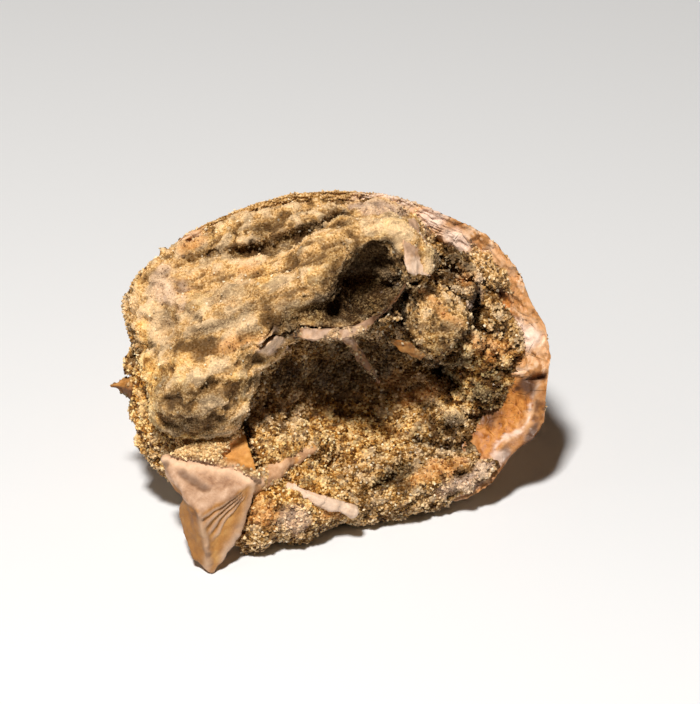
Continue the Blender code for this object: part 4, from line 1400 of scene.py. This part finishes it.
def splinter_finish(name="splinter_dentine", amber=False):
    """Pinkish dentine that turns orange, chalky or dark by its masks; the dark is partly stains and partly
    painted shade.
    """
    f = Finish(name)
    cloud = f.clouds(1.3, 4.0, 0.55)
    fine = f.clouds(0.32, 3.0, 0.6)
    mix = f.mean(cloud, 0.6, fine)
    body = f.tones(mix, *(AMBER if amber else PINK_DENTINE))
    orange = f.tones(mix, (0.3, (0.36, 0.14, 0.024)), (0.52, (0.62, 0.28, 0.065)), (0.72, (0.8, 0.45, 0.15)))
    body = f.blend(f.mask("orange"), body, orange)
    sand = f.tones(f.clouds(0.16, 2.0, 0.6), (0.36, BROWN_SAND), (0.5, TAN_SAND), (0.62, CREAM_SAND))
    body = f.blend(f.between(f.mask("sandy"), 0.2, 0.7, 0.0, 0.85), body, sand)
    chalky = f.blend(fine, (0.78, 0.54, 0.39), (0.96, 0.78, 0.62))
    body = f.blend(f.mask("bleach", 0.8), body, chalky)
    # Dark stains and painted shade from the mask.
    body = f.blend(f.mask("gloom", 0.93), body, (0.09, 0.036, 0.014))
    rough = f.between(fine, 0.3, 0.7, 0.5, 0.7)
    bump = f.relief(f.mean(mix, 0.6, f.clouds(0.1, 3.0)), 0.12, 0.7)
    return f.surface(body, rough, bump, 0.35)


# ---------------------------------------------------------------- the stage


def pale_floor():
    bm = bmesh.new()
    bmesh.ops.create_grid(bm, x_segments=2, y_segments=2, size=FLOOR_REACH)
    floor = object_from(bm, "floor")
    material = bpy.data.materials.new("pale_floor")
    material.use_nodes = True
    give(material.node_tree, material.node_tree.nodes["Principled BSDF"], FLOOR)
    floor.data.materials.append(material)


def soft_box(name, place, aim, energy, size, colour):
    light = bpy.data.lights.new(name, "AREA")
    light.energy = energy
    light.size = size
    light.color = colour
    obj = bpy.data.objects.new(name, light)
    obj.location = place
    obj.rotation_euler = (Vector(aim) - Vector(place)).to_track_quat("-Z", "Y").to_euler()
    bpy.context.scene.collection.objects.link(obj)


def studio():
    soft_box("key", **KEY_LIGHT)
    soft_box("fill", **FILL_LIGHT)
    world = bpy.data.worlds.new("studio")
    world.use_nodes = True
    give(world.node_tree, world.node_tree.nodes["Background"], ROOM_LIGHT)
    bpy.context.scene.world = world
    bpy.context.scene.view_settings.view_transform = "Standard"


def camera():
    data = bpy.data.cameras.new("camera")
    data.lens = data.sensor_width * CAMERA_AWAY / SEEN_WIDTH
    data.clip_start = 0.01
    obj = bpy.data.objects.new("camera", data)
    obj.location = TO_WORLD @ Vector((*SEEN_MIDDLE, CAMERA_AWAY))
    obj.rotation_euler = (BREAK_LEAN, 0.0, 0.0)
    bpy.context.scene.collection.objects.link(obj)
    bpy.context.scene.camera = obj


# ---------------------------------------------------------------- all of it


def carrier_of(*pieces):
    """The skins that grains lie on, as one mesh with their masks."""
    bm = bmesh.new()
    for piece in pieces:
        bm.from_mesh(piece.data)
    carrier = object_from(bm, "carrier")
    for mask in ("sandy", "soft", "gloom", "golden", "rust", "bleach", "crest"):
        paint(carrier, **{mask: np.concatenate([painted(piece, mask) for piece in pieces])})
    sandy, soft = painted(carrier, "sandy"), painted(carrier, "soft")
    paint(
        carrier,
        fine_share=sandy * ease(0.25, 0.75, soft),
        bold_share=sandy * (1.0 - ease(0.25, 0.75, soft)),
        glint_share=sandy * (0.6 - 0.5 * soft),
    )
    return carrier


def main():
    shapes = {
        "sand_fill": shape_sand(),
        "tooth_crown": shape_crown(),
        "corner_splinter": shape_corner_splinter(),
        **shape_small_shards(),
    }

    tree = grain_coat_tree()
    carrier = carrier_of(*(shape for node, shape in shapes.items() if node != "hood_flake"))
    coats = []
    for name, (sizes, seed, mask, *look) in GRAIN_COATS.items():
        finish = grain_finish(*look)
        coats.append((grain_coat(carrier, tree, name, sizes, seed, mask, finish), name, finish))
    bpy.data.objects.remove(carrier)

    dentine = splinter_finish()
    amber = splinter_finish("amber_wall", amber=True)
    for node, name, finish, slot in (
        ("sand_fill", "cemented_sand", cemented_sand_finish(), "cemented_sand"),
        ("tooth_crown", "crown_wall", crown_finish(), "enamel"),
        ("corner_splinter", "forked_splinter", dentine, "dentine"),
        ("cave_lining", "cave_wall_shard", dentine, "dentine"),
        ("floor_splinter", "pale_splinter", dentine, "dentine"),
        ("hood_flake", "pink_flake", dentine, "dentine"),
        ("edge_chip", "edge_shard", dentine, "dentine"),
        ("knob_shard", "amber_shard", amber, "amber_enamel"),
    ):
        place(shapes[node], name, finish, slot, node)
    for coat, name, finish in coats:
        place(coat, name, finish, "cemented_sand")
    pale_floor()
    studio()
    camera()


main()
